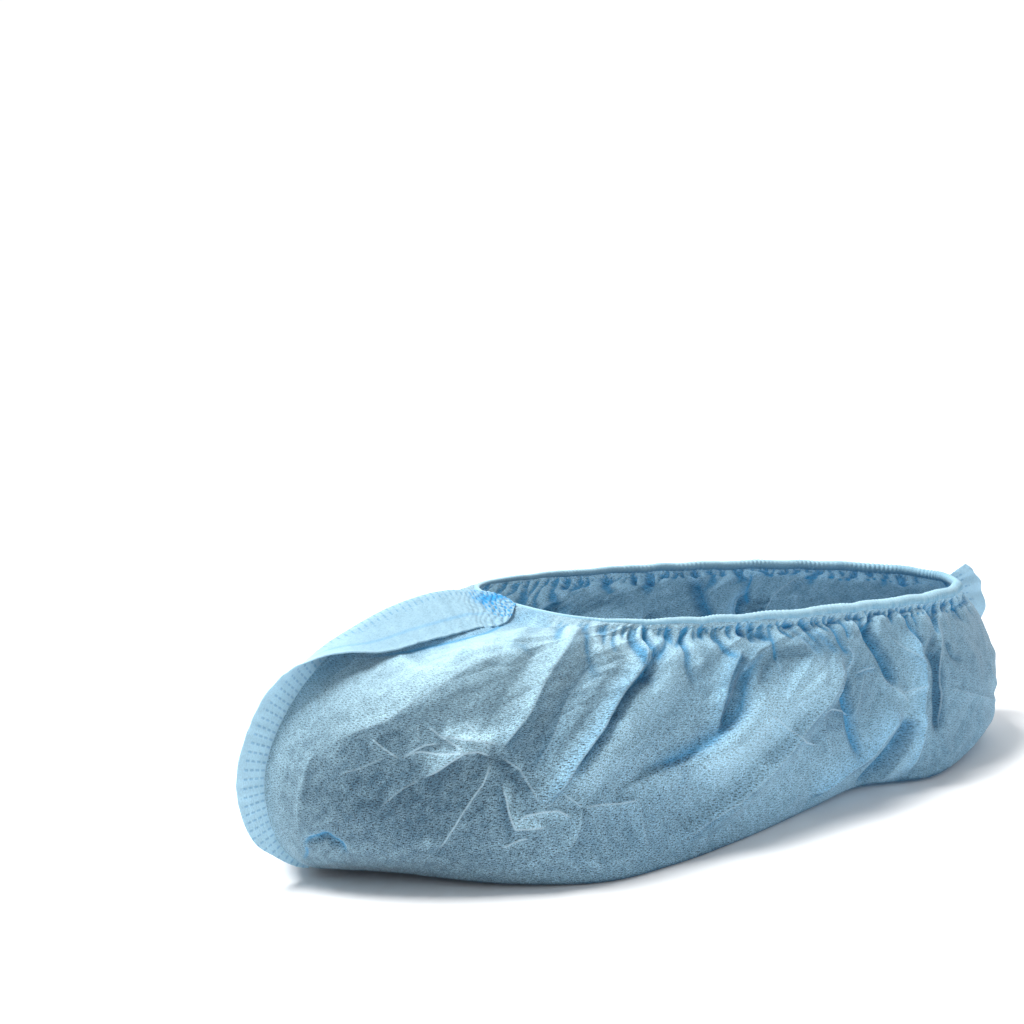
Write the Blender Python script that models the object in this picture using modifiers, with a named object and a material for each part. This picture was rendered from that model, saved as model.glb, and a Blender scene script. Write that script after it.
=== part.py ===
"""A disposable overshoe of blue nonwoven cloth, in the form it keeps when it is worn.

Metres, +Z up. The sole lies on z = 0, the toe points to -Y, and +X is the wearer's left,
which is the outer (lateral) side of this left overshoe. The origin is on the floor, midway
between the tips of the front and back seams.

One sheet makes the sole and the walls. Its two halves are welded together down the toe and
down the heel, and each weld leaves a flat fin of doubled cloth. A rolled casing with a hidden
elastic runs round the mouth.
"""

import bmesh
import bpy
import numpy as np

# Sizes of the bag
TOE_REACH = 0.1600
HEEL_REACH = 0.1645
BALL_HALF_WIDTH = 0.0625
VAMP_HEIGHT = 0.0855
SIDE_HEIGHT = 0.072
HEEL_HEIGHT = 0.0585
WALL = 0.0012

# Sizes of the mouth's edge
MOUTH_FRONT = 0.063
MOUTH_BACK = 0.150
MOUTH_HALF_WIDTH = 0.043
MOUTH_FRONT_HEIGHT = 0.082
MOUTH_SIDE_HEIGHT = 0.075
MOUTH_WAIST_HEIGHT = 0.0665

# The flat middle line of the sole
TREAD_FRONT = 0.100
TREAD_BACK = 0.115
ARCH_LIFT = 0.005

# Seams, hem and the gap that pieces keep
SEAM_WIDTH = 0.012
SEAM_THICKNESS = 0.0012
RUFFLE_HEIGHT = 0.0016
RUFFLE_PITCH = 0.0060
HEM_FRONT_RADIUS = 0.0011
HEM_BACK_RADIUS = 0.0023
# Half turn at which the hem starts to grow thicker towards the heel
HEM_THIN_END = 0.1
GAP = 0.0003

# Gathers under the hem
PLEATS = 30
PLEAT_HEIGHT = 0.0022
PLEAT_VARIETY = 0.35
# Levels at which the gathers start, are deepest and end, and half turns over which they grow
# from the front seam backwards
PLEAT_START, PLEAT_DEEPEST, PLEAT_END = 0.58, 0.84, 0.96
PLEAT_FRONT, PLEAT_FULL = 0.06, 0.30

# Mesh
COLUMNS_PER_PLEAT = 4
WALL_ROWS = 13
SOLE_ROWS = 3
TOE_FIN_ROWS = 46
HEEL_FIN_ROWS = 30
FIN_CROWDING = 1.5
SEAM_STEPS = 4
FOLD_STEPS = 24
HEM_ROUNDNESS = 1
HALF_TURN = 0.5
# Step in turns and levels that gives the wall's directions, and the widest gap that is closed
NORMAL_STEP = 0.002
MERGE_DISTANCE = 1e-7

# The cloth's colours, single, doubled in the seams and rolled in the hem
SINGLE_COLOR = (0.30, 0.55, 0.70)
DOUBLED_COLOR = (0.42, 0.68, 0.82)
ROLLED_COLOR = (0.36, 0.62, 0.78)
CLOTH_ROUGHNESS = 0.85

# The outline of a ring, from the toe round to the heel. turn is the place on the half turn,
# along is the share of the ring's length, the next five are shares of its half width, and
# arch is the share of the lift under the sole's waist
OUTLINE = (
    ("turn", "along", "sole_out", "sole_in", "girth_out", "girth_in", "mouth", "arch"),
    (0.00, 0.00, 0.00, 0.00, 0.00, 0.00, 0.00, 0.00),
    (0.08, 0.02, 0.09, 0.10, 0.30, 0.33, 0.50, 0.00),
    (0.16, 0.07, 0.30, 0.36, 0.57, 0.62, 0.77, 0.00),
    (0.24, 0.14, 0.70, 0.76, 0.80, 0.84, 0.90, 0.00),
    (0.32, 0.23, 0.98, 0.98, 0.95, 0.98, 0.97, 0.00),
    (0.42, 0.34, 1.01, 0.99, 1.00, 1.00, 1.00, 0.00),
    (0.52, 0.47, 0.91, 0.84, 0.96, 0.90, 1.00, 0.00),
    (0.62, 0.60, 0.76, 0.68, 0.89, 0.80, 0.95, 0.30),
    (0.70, 0.70, 0.67, 0.66, 0.83, 0.76, 0.89, 1.00),
    (0.78, 0.80, 0.78, 0.72, 0.79, 0.76, 0.79, 0.30),
    (0.86, 0.90, 0.58, 0.58, 0.66, 0.66, 0.60, 0.00),
    (0.93, 0.97, 0.33, 0.34, 0.38, 0.38, 0.35, 0.00),
    (1.00, 1.00, 0.00, 0.00, 0.00, 0.00, 0.00, 0.00),
)

# The rings, from the sole's edge up to just under the mouth. level is the place on the wall,
# toe, heel and width are shares of the reaches and the ball's half width, girth and mouth say
# how much of those outlines the ring has, and the heights are shares of the vamp's, the
# side's and the heel's
RINGS = (
    ("level", "toe", "heel", "width", "girth", "mouth", "z_toe", "z_ball", "z_waist", "z_heel"),
    (0.00, 0.880, 0.945, 1.010, 0.0, 0.0, 0.03, 0.00, 0.00, 0.03),
    (0.10, 0.950, 0.995, 1.025, 0.5, 0.0, 0.12, 0.11, 0.11, 0.14),
    (0.28, 1.000, 0.993, 1.005, 1.0, 0.0, 0.39, 0.36, 0.34, 0.34),
    (0.46, 0.957, 1.000, 0.968, 0.8, 0.2, 0.64, 0.57, 0.53, 0.53),
    (0.66, 0.813, 0.980, 0.880, 0.4, 0.6, 0.895, 0.77, 0.72, 0.72),
    (0.86, 0.575, 0.945, 0.768, 0.1, 0.9, 1.00, 0.93, 0.87, 0.89),
)
BALL_TURN = 0.34
WAIST_TURN = 0.66


def spline(knots, values, at):
    """The smooth curve through values at knots, read at each place in at."""
    knots, values, at = (np.asarray(item, float) for item in (knots, values, at))
    slopes = np.gradient(values, knots, axis=0)
    below = np.clip(np.searchsorted(knots, at, side="right") - 1, 0, len(knots) - 2)
    shape = (-1,) + (1,) * (values.ndim - 1)
    gap = (knots[below + 1] - knots[below]).reshape(shape)
    t = (at - knots[below]).reshape(shape) / gap
    return (
        (2 * t**3 - 3 * t**2 + 1) * values[below]
        + (t**3 - 2 * t**2 + t) * gap * slopes[below]
        + (3 * t**2 - 2 * t**3) * values[below + 1]
        + (t**3 - t**2) * gap * slopes[below + 1]
    )


def columns(table):
    """A table's columns by name."""
    return dict(zip(table[0], np.array(table[1:], float).T))


def there_and_back(out_side, in_side):
    """Values from the toe round the outer side to the heel, and back by the inner side."""
    return np.concatenate([out_side, in_side[-2:0:-1]])


def ring_points(toe, heel, half_width, girth, mouth, heights):
    """The control points of one ring, toe and heel being its ends along Y."""
    shape = columns(OUTLINE)
    sole = 1 - girth - mouth
    out_side = sole * shape["sole_out"] + girth * shape["girth_out"] + mouth * shape["mouth"]
    in_side = sole * shape["sole_in"] + girth * shape["girth_in"] + mouth * shape["mouth"]
    along = there_and_back(shape["along"], shape["along"])
    turn = there_and_back(shape["turn"], shape["turn"])
    z_toe, z_ball, z_waist, z_heel = heights
    beyond = 1 + BALL_TURN
    knots = (-BALL_TURN, 0, BALL_TURN, WAIST_TURN, 1, beyond)
    z = spline(knots, (z_ball, z_toe, z_ball, z_waist, z_heel, z_waist), turn)
    z = z + sole * ARCH_LIFT * there_and_back(shape["arch"], shape["arch"])
    x = half_width * there_and_back(out_side, -in_side)
    return np.stack([x, toe + along * (heel - toe), z], axis=1)


def all_rings():
    """The turns, the levels and the control points of every ring."""
    shape, rings = columns(OUTLINE), columns(RINGS)
    turns = np.concatenate([shape["turn"], 2 - shape["turn"][-2:0:-1]]) * HALF_TURN
    points = [
        ring_points(
            -TOE_REACH * rings["toe"][i],
            HEEL_REACH * rings["heel"][i],
            BALL_HALF_WIDTH * rings["width"][i],
            rings["girth"][i],
            rings["mouth"][i],
            (
                VAMP_HEIGHT * rings["z_toe"][i],
                SIDE_HEIGHT * rings["z_ball"][i],
                SIDE_HEIGHT * rings["z_waist"][i],
                HEEL_HEIGHT * rings["z_heel"][i],
            ),
        )
        for i in range(len(rings["level"]))
    ]
    mouth_heights = (MOUTH_FRONT_HEIGHT, MOUTH_SIDE_HEIGHT, MOUTH_WAIST_HEIGHT, HEEL_HEIGHT)
    points.append(ring_points(-MOUTH_FRONT, MOUTH_BACK, MOUTH_HALF_WIDTH, 0, 1, mouth_heights))
    return turns, np.append(rings["level"], 1.0), np.array(points)


RING_TURNS, RING_LEVELS, RING_POINTS = all_rings()
# A ring a little inside the sole's edge, so that the wall leaves the floor in a soft bend
INNER_LEVEL, INNER_SHARE = -0.1, 0.9


def smooth_wall(turns, levels):
    """Points of the unfolded wall, as an array of levels by turns by XYZ."""
    knots = np.concatenate([RING_TURNS[-3:] - 1, RING_TURNS, RING_TURNS[:3] + 1])
    wrapped = np.concatenate([RING_POINTS[:, -3:], RING_POINTS, RING_POINTS[:, :3]], axis=1)
    around = spline(knots, wrapped.transpose(1, 0, 2), np.asarray(turns, float) % 1)
    inner = around[:, :1] * (INNER_SHARE, INNER_SHARE, 1)
    stack = np.concatenate([inner, around], axis=1).transpose(1, 0, 2)
    points = spline(np.append(INNER_LEVEL, RING_LEVELS), stack, levels)
    points[..., 2] = np.maximum(points[..., 2], 0)
    return points


def unit(vectors):
    """Vectors of length one."""
    return vectors / np.linalg.norm(vectors, axis=-1, keepdims=True)


def wall_normals(turns, levels):
    """Outward directions of the unfolded wall."""
    turns, levels = np.asarray(turns, float), np.asarray(levels, float)
    around = smooth_wall(turns + NORMAL_STEP, levels) - smooth_wall(turns - NORMAL_STEP, levels)
    lower, upper = np.maximum(levels - NORMAL_STEP, 0), np.minimum(levels + NORMAL_STEP, 1)
    upward = smooth_wall(turns, upper) - smooth_wall(turns, lower)
    return unit(np.cross(around, upward))


def fade(values, start, end):
    """0 up to start, 1 from end, and a soft rise between."""
    t = np.clip((np.asarray(values, float) - start) / (end - start), 0, 1)
    return t * t * (3 - 2 * t)


# The main folds. side is 1 on the outer side and -1 on the inner one. Each runs through three
# places, given as (turn, level). reach is how far it spreads on each side, in shares of the
# side's height, and height is its rise in shares of FOLD_HEIGHT, negative for a groove. step
# is 1 where the cloth behind the line drops by as much as the cloth before it rises
FOLD_HEIGHT = 0.004
FOLDS = (
    ("side", "turn_1", "level_1", "turn_2", "level_2", "turn_3", "level_3", "reach", "height", "step"),
    (1, 0.19, 0.97, 0.225, 0.73, 0.25, 0.48, 0.15, 0.55, 0),
    (1, 0.37, 0.97, 0.32, 0.65, 0.27, 0.30, 0.13, -1.00, 0),
    (1, 0.34, 0.95, 0.30, 0.65, 0.25, 0.36, 0.13, 0.60, 0),
    (1, 0.39, 0.95, 0.37, 0.73, 0.32, 0.48, 0.10, -0.55, 0),
    (1, 0.50, 0.84, 0.48, 0.66, 0.45, 0.42, 0.12, -0.60, 0),
    (1, 0.55, 0.82, 0.48, 0.50, 0.35, 0.29, 0.18, -0.90, 0),
    (1, 0.60, 0.74, 0.54, 0.42, 0.42, 0.20, 0.26, 0.90, 0),
    (1, 0.61, 0.66, 0.57, 0.36, 0.45, 0.09, 0.10, -0.40, 0),
    (1, 0.73, 0.42, 0.67, 0.22, 0.57, 0.02, 0.18, 0.80, 1),
    (1, 0.765, 0.74, 0.775, 0.42, 0.745, 0.06, 0.11, 0.70, 0),
    (1, 0.80, 0.90, 0.80, 0.65, 0.79, 0.40, 0.09, -0.50, 0),
    (1, 0.67, 0.80, 0.71, 0.55, 0.74, 0.40, 0.09, -0.45, 0),
    (-1, 0.21, 0.97, 0.24, 0.70, 0.26, 0.40, 0.15, 0.60, 0),
    (-1, 0.35, 0.96, 0.31, 0.60, 0.25, 0.28, 0.13, -0.90, 0),
    (-1, 0.46, 0.92, 0.43, 0.62, 0.36, 0.32, 0.14, -0.70, 0),
    (-1, 0.55, 0.85, 0.50, 0.50, 0.40, 0.22, 0.22, 0.90, 0),
    (-1, 0.63, 0.80, 0.58, 0.45, 0.47, 0.12, 0.15, -0.80, 0),
    (-1, 0.74, 0.45, 0.68, 0.24, 0.58, 0.02, 0.18, 0.70, 1),
    (-1, 0.72, 0.88, 0.75, 0.62, 0.76, 0.30, 0.11, -0.60, 0),
    (-1, 0.83, 0.85, 0.82, 0.55, 0.82, 0.20, 0.12, 0.60, 0),
)
# Half turns over which folds die out beside each seam
SEAM_CLEAR, SEAM_SOFT = 0.05, 0.10
# Shares of a fold's length over which it rises and dies out
FOLD_START, FOLD_END = 0.12, 0.30


def distance_to_path(points, normals, path):
    """For each point, its distance to the path, its side of it and the place along it."""
    start, span = path[:-1], np.diff(path, axis=0)
    away = points[:, None] - start
    along = np.clip((away * span).sum(-1) / (span**2).sum(-1), 0, 1)
    gap = away - along[..., None] * span
    size = np.linalg.norm(gap, axis=-1)
    nearest = size.argmin(axis=1)
    rows = np.arange(len(points))
    ahead = np.cross(normals, span[nearest])
    side = np.sign((ahead * gap[rows, nearest]).sum(-1))
    place = (nearest + along[rows, nearest]) / len(span)
    return size[rows, nearest], side, place


def fold_rise(points, normals):
    """How far each point of the wall moves outwards for all the folds together."""
    rise = np.zeros(len(points))
    for row in FOLDS[1:]:
        fold = dict(zip(FOLDS[0], row))
        place = np.linspace(0, 1, FOLD_STEPS)
        marks = (0, 0.5, 1)
        turns = spline(marks, [fold["turn_1"], fold["turn_2"], fold["turn_3"]], place)
        levels = spline(marks, [fold["level_1"], fold["level_2"], fold["level_3"]], place)
        turns = fold["side"] * turns * HALF_TURN
        path = np.concatenate([smooth_wall([t], [v])[0] for t, v in zip(turns, levels)])
        size, side, place = distance_to_path(points, normals, path)
        reach = fold["reach"] * SIDE_HEIGHT
        crest = np.clip(1 - size / reach, 0, 1) ** 2
        crest = crest * fade(place, 0, FOLD_START) * (1 - fade(place, 1 - FOLD_END, 1))
        if fold["step"]:
            crest = crest * np.tanh(side * size / WALL) * fold["side"]
        rise += crest * fold["height"] * FOLD_HEIGHT
    return rise


def pleat_rise(turns, levels):
    """The gathers under the hem, as levels by turns."""
    turns, levels = np.meshgrid(turns, levels)
    half = np.minimum(turns, 1 - turns) / HALF_TURN
    number = np.floor(turns * PLEATS + 0.5)
    size = 1 + PLEAT_VARIETY * np.sin(number * number)
    wave = np.cos(2 * np.pi * turns * PLEATS)
    down = fade(levels, PLEAT_START, PLEAT_DEEPEST) * (1 - fade(levels, PLEAT_DEEPEST, PLEAT_END))
    return PLEAT_HEIGHT * size * wave * down * fade(half, PLEAT_FRONT, PLEAT_FULL)


def folded_wall(turns, levels):
    """Points of the wall with its folds and gathers."""
    points, normals = smooth_wall(turns, levels), wall_normals(turns, levels)
    flat_points, flat_normals = points.reshape(-1, 3), normals.reshape(-1, 3)
    rise = fold_rise(flat_points, flat_normals).reshape(points.shape[:2])
    rise = rise * (1 - fade(levels, PLEAT_DEEPEST, PLEAT_END))[:, None] + pleat_rise(turns, levels)
    half = np.minimum(turns, 1 - turns) / HALF_TURN
    clear = fade(np.minimum(half, 1 - half), SEAM_CLEAR, SEAM_SOFT)
    points = points + normals * (rise * clear)[..., None]
    points[..., 2] = np.maximum(points[..., 2], 0)
    points[0, :, 2] = smooth_wall(turns, levels[:1])[0, :, 2]
    return points


def sole_rows(turns, edge):
    """Points from the sole's middle line out to its edge, as rows by turns by XYZ."""
    shape = columns(OUTLINE)
    half = np.minimum(turns, 1 - turns) / HALF_TURN
    along = spline(shape["turn"], shape["along"], half)
    y = -TREAD_FRONT + along * (TREAD_FRONT + TREAD_BACK)
    middle = np.stack([0 * y, y, 0 * y], axis=1)
    shares = np.arange(SOLE_ROWS) / SOLE_ROWS
    return middle + shares[:, None, None] * (edge - middle)


# Blender objects


def new_material(name, color):
    """A plain finish for one piece."""
    material = bpy.data.materials.new(name)
    material.use_nodes = True
    shader = material.node_tree.nodes["Principled BSDF"]
    shader.inputs["Base Color"].default_value = (*color, 1)
    shader.inputs["Roughness"].default_value = CLOTH_ROUGHNESS
    shader.inputs["Metallic"].default_value = 0
    return material


def grid_object(name, rows, closed, material, collection):
    """An open sheet with its outer side out, from rows of points. closed joins its columns' ends."""
    count_rows, count = rows.shape[:2]
    mesh = bmesh.new()
    verts = [mesh.verts.new(point) for point in rows.reshape(-1, 3)]
    for row in range(count_rows - 1):
        for column in range(count if closed else count - 1):
            beside = (column + 1) % count
            low, high = row * count, (row + 1) * count
            corners = (low + column, low + beside, high + beside, high + column)
            mesh.faces.new([verts[i] for i in corners])
    bmesh.ops.remove_doubles(mesh, verts=mesh.verts, dist=MERGE_DISTANCE)
    data = bpy.data.meshes.new(name)
    mesh.to_mesh(data)
    mesh.free()
    data.materials.append(material)
    data.shade_smooth()
    piece = bpy.data.objects.new(name, data)
    collection.objects.link(piece)
    return piece


def thicken(piece, thickness, offset):
    """Gives a sheet its thickness, -1 for inwards and 0 for both ways."""
    solid = piece.modifiers.new("thickness", "SOLIDIFY")
    solid.thickness = thickness
    solid.offset = offset


def column_turns():
    """The places of the wall's columns, a few to each pleat."""
    count = PLEATS * COLUMNS_PER_PLEAT
    return np.arange(count) / count


def make_cover_body(collection, material):
    """The sole and the walls, one sheet."""
    turns = column_turns()
    wall = folded_wall(turns, np.linspace(0, 1, WALL_ROWS + 1))
    rows = np.concatenate([sole_rows(turns, wall[0]), wall])
    piece = grid_object("cover_body", rows, True, material, collection)
    thicken(piece, WALL, -1)


# The fins' form by level on the wall. width is a share of SEAM_WIDTH, lean is the angle in
# degrees by which the fin is folded over, and ruffle a share of RUFFLE_HEIGHT
TOE_FIN = (
    ("level", "width", "lean", "ruffle"),
    (0.04, 0.30, 0, 0),
    (0.10, 0.55, 0, 0),
    (0.18, 0.72, 0, 0),
    (0.28, 0.75, 0, 0),
    (0.42, 0.90, 5, 0),
    (0.54, 1.00, 38, 0),
    (0.64, 1.00, 70, 0),
    (0.78, 1.00, 84, 0),
    (0.88, 1.00, 84, 0.5),
    (0.99, 0.90, 78, 1),
)
HEEL_FIN = (
    ("level", "width", "lean", "ruffle"),
    (0.08, 0.50, 84, 0),
    (0.30, 0.90, 84, 0),
    (0.48, 1.00, 84, 0),
    (0.58, 1.00, 78, 0.3),
    (0.68, 1.00, 52, 0.6),
    (0.76, 1.00, 20, 0.6),
    (0.86, 1.00, 5, 0.6),
    (0.98, 0.65, 0, 0.3),
)
# How much less and more than its lean a fin bends from its root to its free edge
LEAN_ROOT, LEAN_EDGE = 0.6, 1.4


def make_fin(name, table, turn, count, collection, material):
    """A doubled strip that stands on the seam and lies over where it leans."""
    form = columns(table)
    first, last = form["level"][0], form["level"][-1]
    levels = last - (last - first) * np.linspace(1, 0, count) ** FIN_CROWDING
    width, lean, ruffle = (np.interp(levels, form["level"], form[key]) for key in form if key != "level")
    roots = smooth_wall([turn], levels)[:, 0]
    normals = wall_normals([turn], levels)[:, 0]
    ahead = unit(np.gradient(roots, axis=0))
    across = unit(np.cross(ahead, normals))
    length = np.append(0, np.cumsum(np.linalg.norm(np.diff(roots, axis=0), axis=1)))
    wave = 0.5 - 0.5 * np.cos(2 * np.pi * length / RUFFLE_PITCH)
    point = roots + normals * (GAP + SEAM_THICKNESS / 2)
    rows = [point]
    for step in range(SEAM_STEPS):
        bend = LEAN_ROOT + (LEAN_EDGE - LEAN_ROOT) * (step + 0.5) / SEAM_STEPS
        angle = np.radians(lean * bend)[:, None]
        part = (SEAM_WIDTH * width / SEAM_STEPS)[:, None]
        point = point + part * (np.cos(angle) * normals + np.sin(angle) * across)
        lift = RUFFLE_HEIGHT * ruffle * wave * (step + 1) / SEAM_STEPS
        facing = np.sin(angle) * normals - np.cos(angle) * across
        rows.append(point + lift[:, None] * facing)
    piece = grid_object(name, np.stack(rows), False, material, collection)
    thicken(piece, SEAM_THICKNESS, 0)


def make_hem(collection, material):
    """The rolled casing on the mouth's edge, thin in front and thicker behind."""
    turns = column_turns()
    half = np.minimum(turns, 1 - turns) / HALF_TURN
    radius = HEM_FRONT_RADIUS + (HEM_BACK_RADIUS - HEM_FRONT_RADIUS) * fade(half, HEM_THIN_END, 1)
    edge = smooth_wall(turns, [1])[0]
    normals = wall_normals(turns, [1])[0]
    ahead = np.roll(edge, -1, axis=0) - np.roll(edge, 1, axis=0)
    upward = unit(np.cross(normals, ahead))
    centre = edge - normals * WALL / 2 + upward * (GAP + radius)[:, None]
    curve = bpy.data.curves.new("elastic_hem", "CURVE")
    curve.dimensions = "3D"
    curve.bevel_depth = 1
    curve.bevel_resolution = HEM_ROUNDNESS
    path = curve.splines.new("POLY")
    path.points.add(len(turns) - 1)
    path.use_cyclic_u = True
    for point, place, size in zip(path.points, centre, radius):
        point.co = (*place, 1)
        point.radius = size
    curve.materials.append(material)
    collection.objects.link(bpy.data.objects.new("elastic_hem", curve))


def main():
    for old in list(bpy.data.objects):
        bpy.data.objects.remove(old)
    collection = bpy.data.collections.new("overshoe")
    bpy.context.scene.collection.children.link(collection)
    cloth = new_material("nonwoven_single", SINGLE_COLOR)
    doubled = new_material("nonwoven_doubled", DOUBLED_COLOR)
    rolled = new_material("nonwoven_rolled", ROLLED_COLOR)
    make_cover_body(collection, cloth)
    make_fin("toe_seam", TOE_FIN, 0, TOE_FIN_ROWS, collection, doubled)
    make_fin("heel_seam", HEEL_FIN, HALF_TURN, HEEL_FIN_ROWS, collection, doubled)
    make_hem(collection, rolled)


main()
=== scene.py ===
# %% [markdown]
# # A disposable overshoe
# The real cover is one sheet of light blue spunbond polypropylene. It is folded under the foot,
# its two halves are welded together down the toe and down the heel, and its mouth is rolled round
# a thin elastic. This lesson dresses the plain solids of that cover: it lays fine folds, gathers
# and creases over the same form, and gives the cloth its fibres and its bond points.

import bmesh
import bpy
import numpy as np
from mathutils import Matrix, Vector, geometry


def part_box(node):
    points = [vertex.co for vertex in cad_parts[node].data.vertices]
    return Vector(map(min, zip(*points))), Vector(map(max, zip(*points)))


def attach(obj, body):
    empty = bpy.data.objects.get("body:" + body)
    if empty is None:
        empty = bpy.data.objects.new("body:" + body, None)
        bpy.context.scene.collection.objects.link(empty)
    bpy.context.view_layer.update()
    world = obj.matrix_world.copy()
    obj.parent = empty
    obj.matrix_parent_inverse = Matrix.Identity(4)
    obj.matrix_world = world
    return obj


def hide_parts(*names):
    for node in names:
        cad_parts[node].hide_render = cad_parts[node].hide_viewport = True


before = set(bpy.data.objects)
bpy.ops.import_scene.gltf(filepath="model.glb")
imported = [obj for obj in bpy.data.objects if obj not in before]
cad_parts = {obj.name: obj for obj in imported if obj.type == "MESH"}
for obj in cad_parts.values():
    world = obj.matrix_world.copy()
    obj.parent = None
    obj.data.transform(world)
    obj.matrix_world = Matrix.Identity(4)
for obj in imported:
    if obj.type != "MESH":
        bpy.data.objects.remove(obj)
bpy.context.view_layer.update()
MM = 0.001
print("nodes:", sorted(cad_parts))

# %% [markdown]
# The camera comes first. The photograph was taken with a long lens from the outer side, a little
# in front and about twelve degrees above the floor. Its place was worked out from the floor and
# from the size of the cover, so a point of the cover falls on the same pixel in both pictures.

# %% Camera
CAMERA_PLACE = (0.74065, -0.62128, 0.31429)
CAMERA_TURN = 52.81
CAMERA_DOWN = 12.28
LENS = 98.77
SENSOR = 36.0
lens = bpy.data.cameras.new("camera")
lens.lens = LENS
lens.sensor_width = SENSOR
camera = bpy.data.objects.new("camera", lens)
camera.location = CAMERA_PLACE
camera.rotation_euler = np.radians((90 - CAMERA_DOWN, 0, CAMERA_TURN))
bpy.context.scene.collection.objects.link(camera)
bpy.context.scene.camera = camera
print("camera at", CAMERA_PLACE)

# %% [markdown]
# A studio table with a white sweep is a pale floor that runs out of sight. One large softbox on
# the toe's side models the folds, a weaker one fills the heel, a third one lights the board far
# behind, and the white surroundings do the rest. The sizes of the boxes matter more than their
# power: a wide box gives the soft shadow that lies under the cover in the photograph. The Standard
# view shows colours as they are computed, so the white board stays white.

# %% Floor and light
FLOOR_SIZE = 60.0
FLOOR_DROP = 0.2 * MM
SKY_STRENGTH = 0.40


def add_light(name, place, size, watts, color, target=(0, 0, 0.04)):
    """A square softbox that looks at a target, as a rule the middle of the cover."""
    data = bpy.data.lights.new(name, "AREA")
    data.size = size
    data.energy = watts
    data.color = color
    light = bpy.data.objects.new(name, data)
    light.location = place
    light.rotation_euler = (Vector(target) - Vector(place)).to_track_quat("-Z", "Y").to_euler()
    bpy.context.scene.collection.objects.link(light)
    return light


add_light("background", (-4.6, 3.5, 2.6), 7.5, 240.0, (1.0, 1.0, 1.0), (-4.6, 3.5, 0))
add_light("softbox_key", (-0.35, -0.62, 1.45), 0.7, 40.0, (1.0, 0.99, 0.97))
add_light("softbox_side", (1.5, 0.7, 0.7), 1.0, 3.0, (0.97, 0.99, 1.0))
world = bpy.data.worlds.new("white_studio")
world.use_nodes = True
world.node_tree.nodes["Background"].inputs["Color"].default_value = (1, 1, 1, 1)
world.node_tree.nodes["Background"].inputs["Strength"].default_value = SKY_STRENGTH
bpy.context.scene.world = world
bpy.context.scene.view_settings.view_transform = "Standard"
bpy.ops.mesh.primitive_plane_add(size=FLOOR_SIZE, location=(0, 0, -FLOOR_DROP))
floor = bpy.context.object
floor.name = "floor"
print("floor and three softboxes")

# %% [markdown]
# Colours are given as sRGB hex, the way a colour picker reads them from a picture, and shaders
# want linear light. One function turns one into the other. A second one adds a shader node with
# its settings and links, so that a material reads as a list of what it is made of.

# %% Colour and node helpers


def linear(code):
    """Linear red, green, blue and alpha of an sRGB hex colour."""
    parts = np.array([int(code[i : i + 2], 16) for i in (1, 3, 5)]) / 255
    light = np.where(parts <= 0.04045, parts / 12.92, ((parts + 0.055) / 1.055) ** 2.4)
    return (*light, 1.0)


def add(tree, kind, links=None, inputs=None, **settings):
    """A shader node of one kind, with settings on it, links into sockets and fixed values on them."""
    node = tree.nodes.new("ShaderNode" + kind)
    for key, value in settings.items():
        setattr(node, key, value)
    for key, value in (inputs or {}).items():
        node.inputs[key].default_value = value
    for key, source in (links or {}).items():
        tree.links.new(source, node.inputs[key])
    return node


def new_tree(name):
    """An empty material with its tree and its output."""
    material = bpy.data.materials.new(name)
    material.use_nodes = True
    material.node_tree.nodes.clear()
    return material, material.node_tree, material.node_tree.nodes.new("ShaderNodeOutputMaterial")


FLOOR_COLOR = "#F7F8FA"
floor_material, tree, output = new_tree("matt_white_board")
shader = add(
    tree,
    "BsdfPrincipled",
    inputs={"Base Color": linear(FLOOR_COLOR), "Roughness": 0.9, "Specular IOR Level": 0.2},
)
tree.links.new(shader.outputs["BSDF"], output.inputs["Surface"])
floor.data.materials.append(floor_material)
print("floor colour", linear(FLOOR_COLOR)[:3])

# %% [markdown]
# ## The form under the folds
# A worn cover is a bag that can be cut into rings: the sole's edge, the widest girth, the
# slope of the vamp and the mouth. Each ring is a smooth curve round the foot, and the wall is a
# smooth loft up through the rings. A place on it has two coordinates: turn, from 0 at the toe
# round the outer side to 0.5 at the heel and back to 1, and level, from 0 at the sole's edge to 1
# at the mouth. The tables are the same ones that the solids are built from, and the sizes are
# read back from those solids.

# %% Sizes from the frame
cover_low, cover_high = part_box("cover_body")
hem_low, hem_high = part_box("elastic_hem")
# The loft bulges a little past the knots that it runs through, and folds add to its width. The
# sizes that no box shows are shares of those that one does
HEEL_BULGE, WIDTH_BULGE = 1.0028, 1.0368
TOE_REACH = -cover_low.y
HEEL_REACH = cover_high.y / HEEL_BULGE
BALL_HALF_WIDTH = (cover_high.x - cover_low.x) / 2 / WIDTH_BULGE
VAMP_HEIGHT = cover_high.z
HEM_FRONT_RADIUS, HEM_BACK_RADIUS = 1.0 * MM, 2.1 * MM
HEEL_HEIGHT = hem_low.z
SIDE_HEIGHT = 0.843 * VAMP_HEIGHT
MOUTH_FRONT = -hem_low.y
MOUTH_BACK = hem_high.y
MOUTH_HALF_WIDTH = (hem_high.x - hem_low.x) / 2
MOUTH_FRONT_HEIGHT = hem_high.z - HEM_FRONT_RADIUS
MOUTH_SIDE_HEIGHT = 0.915 * MOUTH_FRONT_HEIGHT
MOUTH_WAIST_HEIGHT = 0.811 * MOUTH_FRONT_HEIGHT
TREAD_FRONT, TREAD_BACK = 0.625 * TOE_REACH, 0.70 * HEEL_REACH
ARCH_LIFT = 1.0 * MM
print("reach", round(TOE_REACH, 4), round(HEEL_REACH, 4), "half width", round(BALL_HALF_WIDTH, 4))
print("mouth", round(MOUTH_FRONT, 4), round(MOUTH_BACK, 4), round(MOUTH_HALF_WIDTH, 4))
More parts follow.
